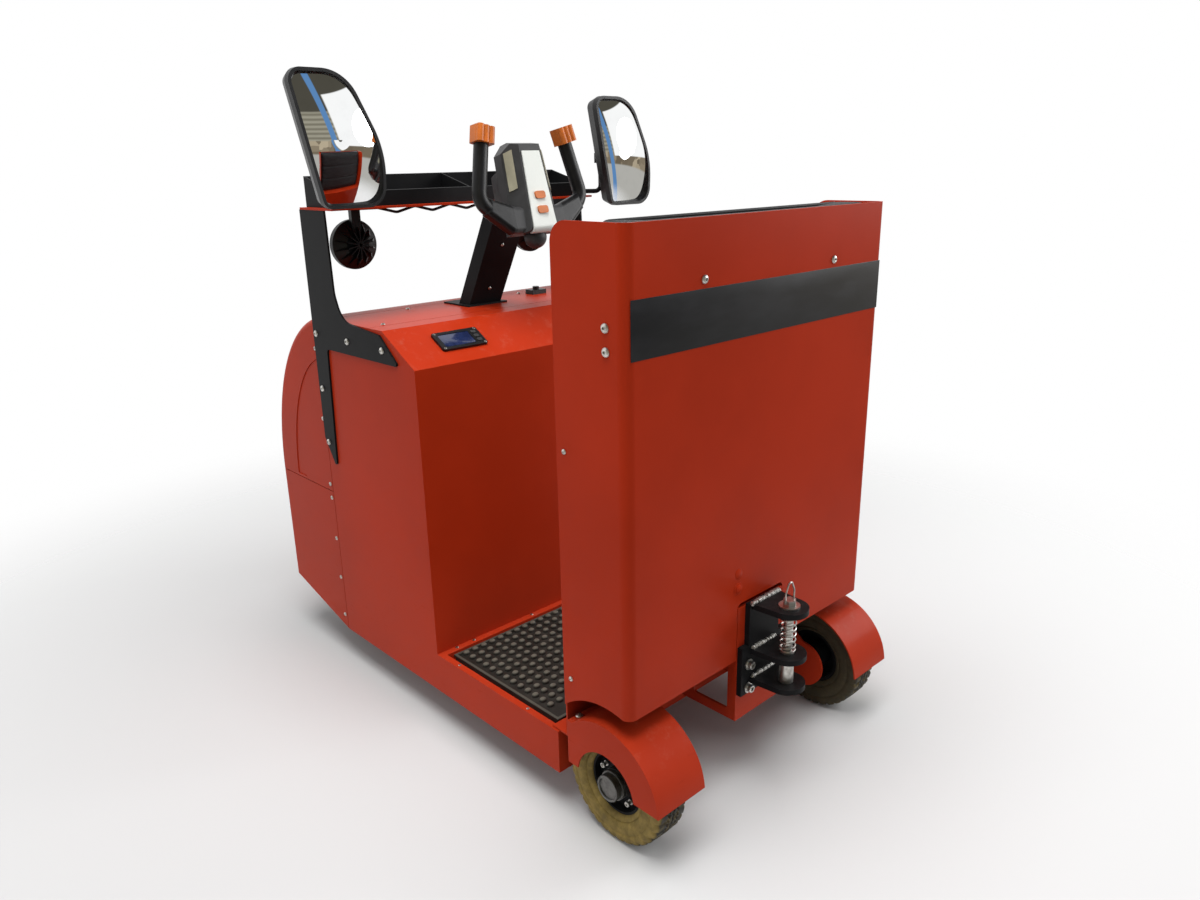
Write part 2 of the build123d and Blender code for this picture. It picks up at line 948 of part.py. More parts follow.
def lamp_lead():
    """Cable between the lamp stems, clipped under the shelf at the crest of each wave."""
    end = lamp_y - lamp_stem_half
    high = pillar_top - seat_gap - lead_radius
    x = ahead(lamp_face - (lamp_stem_front + lamp_stem_back) / 2)
    pitch = 2 * end / (2 * lead_waves + 2)
    points = [(x, end, high)]
    for index in range(2 * lead_waves + 1):
        level = high - lead_sag * (index % 2)
        points.append((x, end - pitch * (index + 1), level))
    points.append((x, -end, high))
    return round_wire(FilletPolyline(*points, radius=lead_bend), lead_radius)


# Mirrors
def mirror_outline():
    """Outline as the driver sees it: x to the right, y up, about the middle of its box."""
    points = [(x * mirror_width / 2, y * mirror_height / 2) for x, y, bend in mirror_corners]
    rim = FilletPolyline(*points, radius=[bend * mirror_width for x, y, bend in mirror_corners], close=True)
    middle = rim.bounding_box().center()
    return Pos(-middle.X, -middle.Y) * make_face(rim)


def mirror_plane(y, z):
    return Plane(origin=(ahead(mirror_ahead), y, z), x_dir=(0, -1, 0), z_dir=(-1, 0, 0))


def mirror_head(y, z):
    face = mirror_outline()
    shell = extrude(face, amount=-mirror_rim)
    shell += extrude(Plane.XY.offset(-mirror_rim) * face, amount=-mirror_back, taper=mirror_taper)
    shell = fillet(shell.faces().sort_by(Axis.Z)[0].edges(), mirror_soft)
    shell -= extrude(offset(face, -mirror_frame), amount=-(glass_thick + glass_bed))
    return mirror_plane(y, z) * shell


def mirror_glass(y, z):
    seat = offset(mirror_outline(), -mirror_frame - seat_gap)
    bed = glass_thick + glass_bed
    slab = extrude(Plane.XY.offset(-bed) * seat, amount=bed)
    slab &= Pos(0, 0, -glass_dome) * Sphere(glass_dome)
    return mirror_plane(y, z) * slab


def mirror_arm(side):
    back_x = ahead(mirror_ahead) + mirror_rim + mirror_back
    post_x = back_x + arm_radius + arm_gap
    post_y = side * (shelf_half - arm_in)
    root_x = ahead(shelf_rear + tray_setback)
    root_y = side * (tray_half - arm_root_in)
    low = pillar_top + shelf_thick + arm_lift
    top = low + arm_rise
    path = FilletPolyline(
        (root_x, root_y, low),
        (root_x - arm_out, root_y, low),
        (post_x, post_y, low),
        (post_x, post_y, top),
        radius=arm_bend,
    )
    clamp = block(
        (back_x, post_x + arm_radius + clamp_wall),
        (post_y - clamp_half, post_y + clamp_half),
        (top - clamp_top - clamp_high, top - clamp_top),
    )
    return round_wire(path, arm_radius) + clamp


# Column and neck
def column_plane():
    lean = radians(column_lean)
    return Plane(origin=(ahead(column_base), 0, body_top), x_dir=(0, 1, 0), z_dir=(-sin(lean), 0, cos(lean)))


def column():
    section = Pos(0, -column_flange / 2) * Rectangle(2 * column_half, column_flange)
    section -= Pos(0, -column_flange / 2 - sheet) * Rectangle(2 * (column_half - sheet), column_flange)
    channel = extrude(Plane.XY.offset(-column_root) * section, amount=column_length + column_root)
    seat = Pos(0, -sheet - column_flange / 2) * Rectangle(2 * (column_half - sheet), column_flange)
    seat -= Pos(0, -axis_inset) * Circle(neck_radius + seat_gap)
    bearing = extrude(Plane.XY.offset(column_length - bearing_length) * seat, amount=bearing_length)
    post = column_plane() * (channel + bearing)
    post -= block((ahead(0), ahead(nose_reach)), (-body_half, body_half), (0, body_top))
    foot = block(
        (ahead(column_base - column_foot_rear), ahead(column_base + column_foot_front)),
        (-column_half - column_foot_side, column_half + column_foot_side),
        (body_top, body_top + sheet),
    )
    return post + foot


def neck_bar():
    """Bar in the column's bearing, up into the steering head."""
    start = Plane.XY.offset(column_length - bearing_length + neck_start)
    return extrude(start * Pos(0, -axis_inset) * Circle(neck_radius), amount=neck_length)


def steering_neck():
    collar = Plane.XY.offset(column_length + seat_gap) * Pos(0, -axis_inset) * Circle(collar_radius)
    return column_plane() * (neck_bar() + extrude(collar, amount=collar_thick))


# Steering head
def head_plane():
    lean = radians(head_lean)
    bearing_top = column_plane().from_local_coords(Vector(0, -axis_inset, column_length))
    return Plane(
        origin=bearing_top - Vector(head_reach, 0, head_drop),
        x_dir=(0, -1, 0),
        z_dir=(-cos(lean), 0, sin(lean)),
    )


def tapered(low_half, top_half, low, top):
    """Face with a level foot and top that narrows upward."""
    corners = [(-low_half, low), (low_half, low), (top_half, top), (-top_half, top)]
    return make_face(Polyline(*corners, close=True))


def console():
    """Middle of the head: narrow face, sloped side facets and a rolled lower edge."""
    top = console_height - console_low
    draft = (face_low_half - face_top_half) / console_height
    wide = face_low_half + console_bevel
    base = Plane.XY.offset(-console_bevel) * tapered(
        wide, wide - draft * (console_height + console_brow), -console_low, top + console_brow
    )
    face = tapered(face_low_half, face_top_half, -console_low, top)
    solid = loft([base, face], ruled=True) + extrude(base, amount=console_bevel - console_depth)
    front = solid.faces().sort_by(Axis.Z)[-1]
    solid = fillet(front.edges().sort_by(Axis.Y)[0], console_roll)
    front = solid.faces().sort_by(Axis.Z)[-1]
    solid = fillet(front.edges().sort_by(Axis.Y)[-1], console_edge)
    high = top + console_brow
    plan = outline(
        [
            (-wide, -console_low),
            (wide, -console_low),
            (wide - draft * high, high - console_corner),
            (wide - draft * high - console_corner, high),
            (console_corner + draft * high - wide, high),
            (draft * high - wide, high - console_corner),
        ]
    )
    return solid & upward(plan, -console_depth, console_bevel)


def hand_arms():
    """Both arms in one piece, from the console's foot out to the grips."""
    right = [
        (arm_low_half, -console_low),
        (arm_end_x, arm_end_low),
        (arm_end_x_top, arm_end_top),
        (arm_root_half, arm_root_top),
    ]
    left = [(-x, y) for x, y in reversed(right)]
    face = make_face(Polyline(*right, *left, close=True))
    arms = extrude(Plane.XY.offset(-arm_front) * face, amount=-2 * grip_radius)
    ends = arms.faces().sort_by(Axis.Z)
    return fillet(ends[0].edges() + ends[-1].edges(), arm_soft)


def between_seams(shape):
    """The part of a head shape between the two grip seams."""
    reach = console_height + boss_radius
    return shape & block((-grip_seam, grip_seam), (-reach, reach), (-reach, reach))


def head_housing():
    hump = Plane.XY.offset(-console_depth) * tapered(hump_half, hump_top_half, hump_low, hump_top)
    body = console() + between_seams(hand_arms())
    body += extrude(hump, amount=-hump_depth, taper=hump_taper)
    body += Pos(0, -boss_low, -boss_back) * Sphere(boss_radius)
    return head_plane() * body - column_plane() * neck_bar()


def grip_line(side):
    """Knee and tip of a grip's middle line."""
    middle = -arm_front - grip_radius
    knee = Vector(side * grip_knee_x, grip_knee_y, middle)
    return knee, Vector(side * grip_tip_x, grip_tip_y, middle + grip_tip_fore)


def head_grips():
    arms = hand_arms()
    ends = arms - between_seams(arms)
    grips = []
    for side in (-1, 1):
        knee, tip = grip_line(side)
        start = Vector(side * grip_start_x, grip_start_y, knee.Z)
        handle = round_wire(FilletPolyline(start, knee, tip, radius=grip_bend), grip_radius)
        end = ends.solids().sort_by(Axis.X)[0 if side < 0 else -1]
        grips.append(head_plane() * (end + handle))
    return Compound(grips)


def head_caps():
    caps = []
    for side in (-1, 1):
        knee, tip = grip_line(side)
        plane = Plane(origin=tip, x_dir=(1, 0, 0), z_dir=tip - knee)
        profile = RectangleRounded(cap_wide, cap_deep, cap_corner)
        for index in range(cap_lobe_count):
            shift = (index - (cap_lobe_count - 1) / 2) * cap_lobe_pitch
            profile += Pos(shift, -cap_deep / 2) * Circle(cap_lobe)
        caps.append(head_plane() * plane * extrude(profile, amount=cap_length))
    return Compound(caps)


def head_fascia():
    """White panel on the console's face, rolled under its lower edge."""
    low = -console_low - seat_gap
    inner = FilletPolyline(
        (0, fascia_top, 0), (0, low, 0), (0, low, -fascia_tail), radius=console_roll + seat_gap
    )
    outer = FilletPolyline(
        (0, fascia_top, fascia_thick),
        (0, low - fascia_thick, fascia_thick),
        (0, low - fascia_thick, -fascia_tail),
        radius=console_roll + seat_gap + fascia_thick,
    )
    section = make_face(Curve() + [inner, outer, Line(inner @ 0, outer @ 0), Line(inner @ 1, outer @ 1)])
    band = extrude(section, amount=fascia_low_half, both=True)
    plan = tapered(fascia_low_half, fascia_top_half, low - fascia_thick - over, fascia_top)
    return head_plane() * (band & upward(plan, -fascia_tail - over, fascia_thick + over))


def head_buttons():
    buttons = Sketch()
    for y in (button_low_y, button_low_y + button_pitch):
        buttons += Pos(0, y) * RectangleRounded(button_wide, button_high, button_corner)
    return head_plane() * upward(buttons, fascia_thick, fascia_thick + button_rise)


def head_windows():
    """Pale windows on the console's side facets."""
    windows = []
    for side in (-1, 1):
        run = Vector(side * (face_top_half - face_low_half), console_height, 0)
        slope = Vector(side * console_bevel, 0, -console_bevel)
        share = (window_y + console_low) / console_height
        middle = Vector(side * face_low_half, -console_low, 0) + run * share + slope * window_share
        plane = Plane(origin=middle, x_dir=run, z_dir=slope.cross(run) * side)
        skew = side * window_skew
        shape = make_face(
            Polyline(
                (-window_half_high - skew, -window_half_wide),
                (window_half_high - skew, -window_half_wide),
                (window_half_high + skew, window_half_wide),
                (-window_half_high + skew, window_half_wide),
                close=True,
            )
        )
        windows.append(head_plane() * plane * extrude(shape, amount=window_thick))
    return Compound(windows)


# Gauge on the dash and latch on the lid
def gauge():
    slope = atan2(slope_rise, slope_run)
    middle = (ahead(dash_ahead + slope_run / 2), body_half - gauge_in, dash_corner + slope_rise / 2)
    plane = Plane(origin=middle, x_dir=(0, -1, 0), z_dir=(-sin(slope), 0, cos(slope)))
    case = upward(RectangleRounded(gauge_wide, gauge_high, gauge_corner), 0, gauge_thick)
    screen = Pos(-screen_shift, 0) * RectangleRounded(screen_wide, screen_high, gauge_corner)
    return plane * (case - upward(screen, gauge_thick - screen_depth, gauge_thick + over))


def top_latch():
    x = ahead(top_seam - latch_set)
    y = latch_in - body_half
    top = body_top + latch_thick
    body = block(
        (x - latch_half_long, x + latch_half_long),
        (y - latch_half_wide, y + latch_half_wide),
        (body_top, top),
    )
    return body + axis_cylinder((x, y, top), (0, 0, 1), latch_knob, latch_knob_high)


# Drive unit: turntable with gear case and motor, and the steered wheel
def drive_case():
    x = ahead(pivot_ahead)
    table_top = drive_plate_z - seat_gap
    table_low = table_top - turntable_thick
    side = drive_half + case_gap
    leg = outline(
        [
            (x - case_top_half, table_low),
            (x - case_low_half, drive_radius),
            (x + case_low_half, drive_radius),
            (x + case_top_half, table_low),
        ]
    )
    leg += Pos(x, drive_radius) * Circle(case_round)
    case = axis_cylinder((x, 0, table_low), (0, 0, 1), turntable_radius, turntable_thick)
    case += axis_cylinder((x, 0, table_top), (0, 0, 1), spigot_radius, drive_plate_thick + 2 * seat_gap)
    case += across(leg, side, side + case_thick)
    shaft_length = side + drive_half - shaft_short
    return case + axis_cylinder((x, side, drive_radius), (0, -1, 0), drive_shaft, shaft_length)


def drive_motor():
    base = (ahead(pivot_ahead), 0, drive_plate_z + drive_plate_thick + seat_gap)
    motor = axis_cylinder(base, (0, 0, 1), motor_radius, motor_length)
    return fillet(motor.faces().sort_by(Axis.Z)[-1].edges(), motor_edge)


def drive_rim():
    bore = drive_shaft + seat_gap
    lip = drive_bore - seat_gap
    section = [
        (bore, -drive_half),
        (lip - dish_width - rim_wall, -drive_half),
        (lip - dish_width, -drive_half + dish_depth),
        (lip - rim_wall, -drive_half),
        (lip, -drive_half),
        (lip, drive_half),
        (bore, drive_half),
    ]
    return turned_about_wheel(section, 0, ahead(pivot_ahead), drive_radius)


def drive_tyre():
    section = [
        (drive_bore, -drive_half),
        (drive_radius - tread_edge, -drive_half),
        (drive_radius, -drive_half + tread_edge),
        (drive_radius, drive_half - tread_edge),
        (drive_radius - tread_edge, drive_half),
        (drive_bore, drive_half),
    ]
    return turned_about_wheel(section, 0, ahead(pivot_ahead), drive_radius)


def battery():
    rear = ahead(dash_ahead + sheet + battery_gap)
    return block(
        (rear, rear + battery_length), (-battery_half, battery_half), (floor_top, floor_top + battery_height)
    )


parts = {
    "chassis": chassis(),
    "tow_bracket": tow_bracket(),
    "drive_deck": drive_deck(),
    "dash_panel": dash_panel(),
    "top_cover": top_cover(),
    "nose_cover": nose_cover(),
    "nose_panel": nose_panel(),
    "floor_mat": floor_mat(),
    "rear_panel": rear_panel(),
    "kick_panel": kick_panel(),
    "back_pad": back_pad(),
    "tow_hitch": tow_hitch(),
    "hitch_pin": hitch_pin(),
    "pull_ring": pull_ring(),
    "hitch_spring": hitch_spring(),
    "shelf": shelf(),
    "tray": tray(),
    "lamp_lead": lamp_lead(),
    "mirror_head_left": mirror_head(mirror_y, mirror_left_z),
    "mirror_head_right": mirror_head(-mirror_y, mirror_right_z),
    "mirror_glass_left": mirror_glass(mirror_y, mirror_left_z),
    "mirror_glass_right": mirror_glass(-mirror_y, mirror_right_z),
    "mirror_arm_left": mirror_arm(1),
    "mirror_arm_right": mirror_arm(-1),
    "column": column(),
    "steering_neck": steering_neck(),
    "head_housing": head_housing(),
    "head_fascia": head_fascia(),
    "head_buttons": head_buttons(),
    "head_windows": head_windows(),
    "head_grips": head_grips(),
    "head_caps": head_caps(),
    "gauge": gauge(),
    "top_latch": top_latch(),
    "drive_case": drive_case(),
    "drive_motor": drive_motor(),
    "drive_rim": drive_rim(),
    "drive_tyre": drive_tyre(),
    "battery": battery(),
}
pairs = {
    "side_panel": side_panel(),
    "rear_tyre": rear_tyre(),
    "rear_rim": rear_rim(),
    "stub_axle": stub_axle(),
    "fender": fender(),
    "pillar": pillar(),
    "work_lamp": work_lamp(),
}
for name, shape in pairs.items():
    parts[f"{name}_left"] = shape
    parts[f"{name}_right"] = mirrored(shape)

os.makedirs("parts", exist_ok=True)
for name, shape in parts.items():
    export_step(shape, f"parts/{name}.step")
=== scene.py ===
"""Looks of a stand-on electric baggage tug, laid out as a Blender add-on and run as a script."""

import math
import random

import bmesh
import bpy
from mathutils import Matrix, Vector


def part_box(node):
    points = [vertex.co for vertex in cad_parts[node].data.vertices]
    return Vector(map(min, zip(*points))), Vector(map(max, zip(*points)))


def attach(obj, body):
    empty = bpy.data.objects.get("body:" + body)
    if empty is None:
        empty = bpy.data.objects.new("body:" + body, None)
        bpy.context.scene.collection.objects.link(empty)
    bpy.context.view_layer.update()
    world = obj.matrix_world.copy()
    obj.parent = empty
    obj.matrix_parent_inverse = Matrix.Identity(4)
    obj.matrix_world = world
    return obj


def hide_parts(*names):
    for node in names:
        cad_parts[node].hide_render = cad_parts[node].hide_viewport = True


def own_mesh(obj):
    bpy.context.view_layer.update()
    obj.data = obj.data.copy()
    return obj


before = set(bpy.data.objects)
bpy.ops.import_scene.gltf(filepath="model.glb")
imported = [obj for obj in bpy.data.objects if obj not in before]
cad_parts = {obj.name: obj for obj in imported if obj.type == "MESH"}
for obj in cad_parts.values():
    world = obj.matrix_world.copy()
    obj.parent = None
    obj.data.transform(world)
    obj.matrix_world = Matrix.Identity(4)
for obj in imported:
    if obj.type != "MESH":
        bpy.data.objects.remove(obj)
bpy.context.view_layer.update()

bl_info = {
    "name": "Baggage Tug Finish",
    "version": (1, 0, 0),
    "blender": (4, 5, 0),
    "location": "View3D > Sidebar > Tug",
    "description": "Adds the finishes, tyres, mat, pad, fasteners and stage of a stand-on baggage tug",
    "category": "Object",
}

MM = 0.001
WHITE = (1.0, 1.0, 1.0)
# The sign of Y on each side
SIDES = {"left": 1, "right": -1}
REAR_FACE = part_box("rear_panel")[0].x


def metres(*millimetres):
    """Millimetres as a tuple of metres."""
    return tuple(value * MM for value in millimetres)


def ahead(distance):
    """X in metres of a place given in millimetres ahead of the backrest's rear face."""
    return REAR_FACE + distance * MM


# Sizes and colours that a user would change


def colour(name, description, value):
    """Colour property with a plain default."""
    return bpy.props.FloatVectorProperty(
        name=name, description=description, subtype="COLOR", size=3, min=0.0, max=1.0, default=value
    )


def length(name, description, millimetres):
    """Length property whose default is given in millimetres."""
    return bpy.props.FloatProperty(
        name=name, description=description, subtype="DISTANCE", unit="LENGTH", min=0.0, default=millimetres * MM
    )


def vector(name, description, subtype, value):
    """Vector property of a kind."""
    return bpy.props.FloatVectorProperty(name=name, description=description, subtype=subtype, size=3, default=value)


def count(name, description, low, value):
    """Whole number that isn't below low."""
    return bpy.props.IntProperty(name=name, description=description, min=low, default=value)


class TugColours(bpy.types.PropertyGroup):
    """Paints, plastics and rubbers."""

    red: colour("Red paint", "Powder coat of the body sheets", (0.38, 0.026, 0.006))
    black: colour("Black paint", "Powder coat of pillars, tray, column and hitch", (0.008, 0.008, 0.0085))
    band: colour("Band", "Film across the backrest", (0.006, 0.006, 0.007))
    grey: colour("Grey plastic", "Moulded steering head", (0.036, 0.036, 0.037))
    jet: colour("Black plastic", "Mirror shells, lamps and gauge case", (0.007, 0.007, 0.0075))
    orange: colour("Orange plastic", "Thumb caps and buttons", (0.48, 0.12, 0.018))
    white: colour("White plastic", "Fascia of the steering head", (0.66, 0.68, 0.64))
    tan: colour("Tyre dust", "Sidewalls under dry dust", (0.215, 0.152, 0.044))
    tread: colour("Tread", "Worn tread rubber", (0.04, 0.037, 0.03))
    mat: colour("Mat rubber", "Studded floor mat", (0.017, 0.0155, 0.013))
    vinyl: colour("Vinyl", "Cover of the back pad", (0.016, 0.016, 0.017))
    steel: colour("Steel", "Zinc plated screws and turned parts", (0.56, 0.55, 0.52))
    screen: colour("Screen", "Gauge glass when off", (0.008, 0.014, 0.05))
    window: colour("Window", "Pale side windows of the steering head", (0.3, 0.28, 0.2))
    # Pale stud tops: partly rubbed rubber, partly a painted highlight.
    wear_and_highlight: colour("Worn rubber", "Rubbed tops of the mat's studs", (0.18, 0.168, 0.133))
    dust: colour("Dust", "Dry dust on the red paint's level faces", (0.42, 0.3, 0.22))
    casting: colour("Casting", "Painted castings of the drive", (0.05, 0.05, 0.052))
    lens: colour("Lamp lens", "Bright cells of the work lamps", (0.72, 0.73, 0.74))


class TugSizes(bpy.types.PropertyGroup):
    """Sizes of the pieces that are modelled here."""

    stud_pitch: length("Stud pitch", "Distance between the mat's studs", 25.6)
    stud_length: length("Stud length", "Length of a stud across the machine", 18.0)
    stud_width: length("Stud width", "Width of a stud along the machine", 15.5)
    stud_height: length("Stud height", "Height of a stud", 7.5)
    mat_border: length("Mat border", "Width of the mat's raised border", 9.0)
    tread_depth: length("Tread depth", "Depth of the tyre grooves", 4.6)
    spring_wire: length("Spring wire", "Diameter of the hitch spring's wire", 3.2)
    weld_width: length("Weld width", "Width of the hitch's weld beads", 13.0)
    band_low: length("Band bottom", "Height of the backrest band's lower edge", 980.0)
    band_high: length("Band top", "Height of the backrest band's upper edge", 1081.0)
    panel_screw: length("Panel screw", "Head radius of the large panel screws", 8.0)
    small_screw: length("Small screw", "Head radius of the small sheet screws", 4.5)
    wheel_bolts: count("Wheel bolts", "Bolts in each rear wheel", 3, 5)
    spring_turns: count("Spring turns", "Coils of the hitch spring", 3, 8)
    tread_pitches: count("Tread pitches", "Repeats round a tyre", 8, 34)


class TugStage(bpy.types.PropertyGroup):
    """Camera, floor and light."""

    camera_place: vector("Camera place", "Where the camera stands", "TRANSLATION", (-1.648, 1.418, 1.296))
    camera_aim: vector("Camera aim", "Viewing direction", "DIRECTION", (0.6923, -0.6546, -0.3039))
    camera_up: vector("Camera up", "Upward direction of the picture", "DIRECTION", (0.2078, -0.2224, 0.9527))
    lens: bpy.props.FloatProperty(name="Lens", description="Focal length in millimetres", default=27.29)
    floor: colour("Floor", "Pale floor", (0.64, 0.64, 0.64))
    soft_light: colour("Soft light", "Even light from all round", (0.38, 0.38, 0.38))


# Shader maths: sockets that take part in Python expressions


def arithmetic(operation, swapped=False):
    """Method that adds a Math node for a Python operator."""

    def method(wire, other):
        return wire.math(operation, *((other, wire) if swapped else (wire, other)))

    return method


class Wire:
    """A node's output. Arithmetic on it adds Math nodes."""

    __add__ = __radd__ = arithmetic("ADD")
    __mul__ = __rmul__ = arithmetic("MULTIPLY")
    __sub__ = arithmetic("SUBTRACT")
    __rsub__ = arithmetic("SUBTRACT", swapped=True)
    __truediv__ = arithmetic("DIVIDE")
    __pow__ = arithmetic("POWER")

    def __init__(self, nodes, socket):
        self.nodes = nodes
        self.socket = socket

    def math(self, operation, *values):
        """Math node of an operation, with its values in order."""
        sockets = dict(enumerate(values))
        return self.nodes.node("ShaderNodeMath", {"operation": operation}, sockets)

    def over(self, low, high):
        """0 below low, 1 above high, smooth between."""
        settings = {"interpolation_type": "SMOOTHSTEP"}
        sockets = {"Value": self, "From Min": low, "From Max": high}
        return self.nodes.node("ShaderNodeMapRange", settings, sockets)


class Nodes:
    """A node tree whose nodes are added by one method."""

    def __init__(self, tree):
        self.tree = tree

    def node(self, kind, settings=None, sockets=None, output=0):
        """Adds a node: its settings first, then the values or links of its sockets."""
        made = self.tree.nodes.new(kind)
        for key, value in (settings or {}).items():
            setattr(made, key, value)
        for key, value in (sockets or {}).items():
            self.plug(made.inputs[key], value)
        return Wire(self, made.outputs[output])

    def plug(self, socket, value):
        """Links a wire to a socket, or sets a constant."""
        if isinstance(value, Wire):
            self.tree.links.new(value.socket, socket)
        elif hasattr(value, "__len__") and socket.type == "RGBA":
            socket.default_value = (*value, 1.0)
        else:
            socket.default_value = value

    def place(self):
        """Position on the piece, in metres in the shared frame."""
        return self.node("ShaderNodeTexCoord", output="Object")

    def parts(self, vector):
        """X, Y and Z of a vector."""
        split = self.node("ShaderNodeSeparateXYZ", None, {0: vector}).socket.node
        return [Wire(self, socket) for socket in split.outputs]

    def noise(self, place, scale, detail=3.0, roughness=0.55):
        """Soft noise from 0 to 1."""
        sockets = {"Vector": place, "Scale": scale, "Detail": detail, "Roughness": roughness}
        return self.node("ShaderNodeTexNoise", None, sockets)

    def cells(self, place, scale, feature="F1"):
        """Distance from the middle of the nearest cell."""
        return self.node("ShaderNodeTexVoronoi", {"feature": feature}, {"Vector": place, "Scale": scale})

    def stretched(self, place, factors):
        """Place scaled by a factor along each axis."""
        return self.node("ShaderNodeVectorMath", {"operation": "MULTIPLY"}, {0: place, 1: factors})

    def mix(self, factor, first, second):
        """Colour between first and second."""
        return self.node("ShaderNodeMix", {"data_type": "RGBA"}, {0: factor, 6: first, 7: second}, output=2)

    def upward(self):
        """1 on faces that look up, 0 on the rest."""
        normal = self.node("ShaderNodeNewGeometry", output="Normal")
        return self.parts(normal)[2].over(0.4, 0.95)

    def bump(self, height, depth, strength=1.0, under=None):
        """Normal bent by a height from 0 to 1 over a depth in metres."""
        sockets = {"Height": height, "Distance": depth, "Strength": strength}
        if under is not None:
            sockets["Normal"] = under
        return self.node("ShaderNodeBump", None, sockets)


class Finish(Nodes):
    """A material with one Principled shader. Its constants are set on the sockets, such as Coat_Weight=0.1."""

    def __init__(self, name, **constants):
        self.material = bpy.data.materials.new(name)
        self.material.use_nodes = True
        super().__init__(self.material.node_tree)
        self.shader = self.tree.nodes["Principled BSDF"]
        self.feed(**constants)

    def feed(self, **links):
        """Values or links of the shader's sockets, such as Base_Color=wire."""
        for socket, value in links.items():
            self.plug(self.shader.inputs[socket.replace("_", " ")], value)
        return self.material


def shade(value, factor):
    """A colour made lighter or darker."""
    return tuple(min(1.0, channel * factor) for channel in value)


def red_paint(colours):
    """Red powder coat with orange peel, scuffs low down and dust on level faces."""
    finish = Finish("red_powder_coat", Coat_Roughness=0.12, Specular_IOR_Level=0.05)
    place = finish.place()
    height = finish.parts(place)[2]
    clouds = finish.noise(place, 3.2, 4.0)
    peel = finish.noise(place, 420.0, 2.0)
    rub = finish.noise(finish.stretched(place, (14.0, 14.0, 90.0)), 1.0, 5.0, 0.65)
    low_down = 1.0 - height.over(0.1, 0.5)
    scuffs = rub.over(0.62, 0.74) * (0.12 + 0.6 * low_down)
    dust = finish.noise(place, 34.0, 6.0, 0.7).over(0.5, 0.85) * finish.upward() * 0.16
    base = finish.mix(clouds.over(0.3, 0.7), shade(colours.red, 0.93), shade(colours.red, 1.07))
    base = finish.mix(scuffs * 0.35, base, shade(colours.red, 0.55))
    base = finish.mix(dust + 0.02 * low_down, base, colours.dust)
    grain = finish.bump(peel, 0.00045, 0.16)
    return finish.feed(
        Base_Color=base,
        Roughness=0.3 + 0.12 * clouds + 0.3 * scuffs + 0.3 * dust,
        Coat_Weight=0.03 - 0.02 * scuffs,
        Normal=finish.bump(clouds, 0.004, 0.05, grain),
    )


def black_paint(colours):
    """Fine grained black powder coat with dust on level faces."""
    finish = Finish("black_powder_coat", Specular_IOR_Level=0.07)
    place = finish.place()
    grain = finish.noise(place, 900.0, 2.0)
    clouds = finish.noise(place, 9.0, 4.0)
    dust = finish.noise(place, 60.0, 6.0, 0.7).over(0.45, 0.85) * finish.upward() * 0.22
    base = finish.mix(clouds.over(0.3, 0.75), shade(colours.black, 0.85), shade(colours.black, 1.5))
    base = finish.mix(dust, base, (0.12, 0.11, 0.1))
    return finish.feed(
        Base_Color=base, Roughness=0.4 + 0.14 * clouds + 0.3 * dust, Normal=finish.bump(grain, 0.0003, 0.35)
    )


def band_film(colours):
    """Black film with long smears."""
    finish = Finish("band_film", Specular_IOR_Level=0.25)
    place = finish.place()
    smears = finish.noise(finish.stretched(place, (4.0, 7.0, 26.0)), 1.0, 5.0)
    base = finish.mix(smears.over(0.35, 0.8), colours.band, shade(colours.band, 2.4))
    return finish.feed(Base_Color=base, Roughness=0.26 + 0.2 * smears, Normal=finish.bump(smears, 0.001, 0.05))


def moulded(name, value, grain_depth=0.00035, roughness=0.46):
    """Moulded plastic with a fine leather grain."""
    finish = Finish(name, Specular_IOR_Level=0.35)
    place = finish.place()
    grain = finish.cells(place, 1500.0)
    wear = finish.noise(place, 24.0, 5.0, 0.6)
    base = finish.mix(wear.over(0.4, 0.75), shade(value, 0.9), shade(value, 1.2))
    return finish.feed(
        Base_Color=base, Roughness=roughness + 0.16 * (wear - 0.5), Normal=finish.bump(grain, grain_depth, 0.3)
    )


def white_fascia(colours):
    """Speckled white plastic with a little grime."""
    finish = Finish("white_fascia", Coat_Weight=0.1)
    place = finish.place()
    specks = finish.noise(place, 700.0, 2.0)
    grime = finish.noise(place, 30.0, 5.0)
    base = finish.mix(specks.over(0.35, 0.7), shade(colours.white, 0.93), colours.white)
    base = finish.mix(grime.over(0.55, 0.9) * 0.2, base, shade(colours.white, 0.7))
    return finish.feed(Base_Color=base, Roughness=0.4 + 0.15 * grime, Normal=finish.bump(specks, 0.0002, 0.2))


def steel(colours, name="zinc_steel", tint=1.2, rough=0.33):
    """Bare or plated steel with tarnish and fine scratches."""
    finish = Finish(name, Metallic=1.0)
    place = finish.place()
    tarnish = finish.noise(place, 90.0, 5.0, 0.6)
    scratch = finish.noise(finish.stretched(place, (900.0, 900.0, 120.0)), 1.0, 2.0)
    base = finish.mix(tarnish.over(0.4, 0.75), shade(colours.steel, tint), shade(colours.steel, 0.62 * tint))
    return finish.feed(
        Base_Color=base, Roughness=rough + 0.25 * tarnish.over(0.35, 0.8), Normal=finish.bump(scratch, 0.0002, 0.2)
    )


def weld_metal(colours):
    """Bright weld drops with dark spatter."""
    finish = Finish("weld_metal", Metallic=0.85)
    place = finish.place()
    spatter = finish.noise(place, 420.0, 4.0, 0.7)
    base = finish.mix(spatter.over(0.35, 0.6), (0.05, 0.05, 0.05), shade(colours.steel, 1.35))
    return finish.feed(
        Base_Color=base, Roughness=0.3 + 0.3 * spatter, Normal=finish.bump(spatter, 0.0014, 0.7)
    )


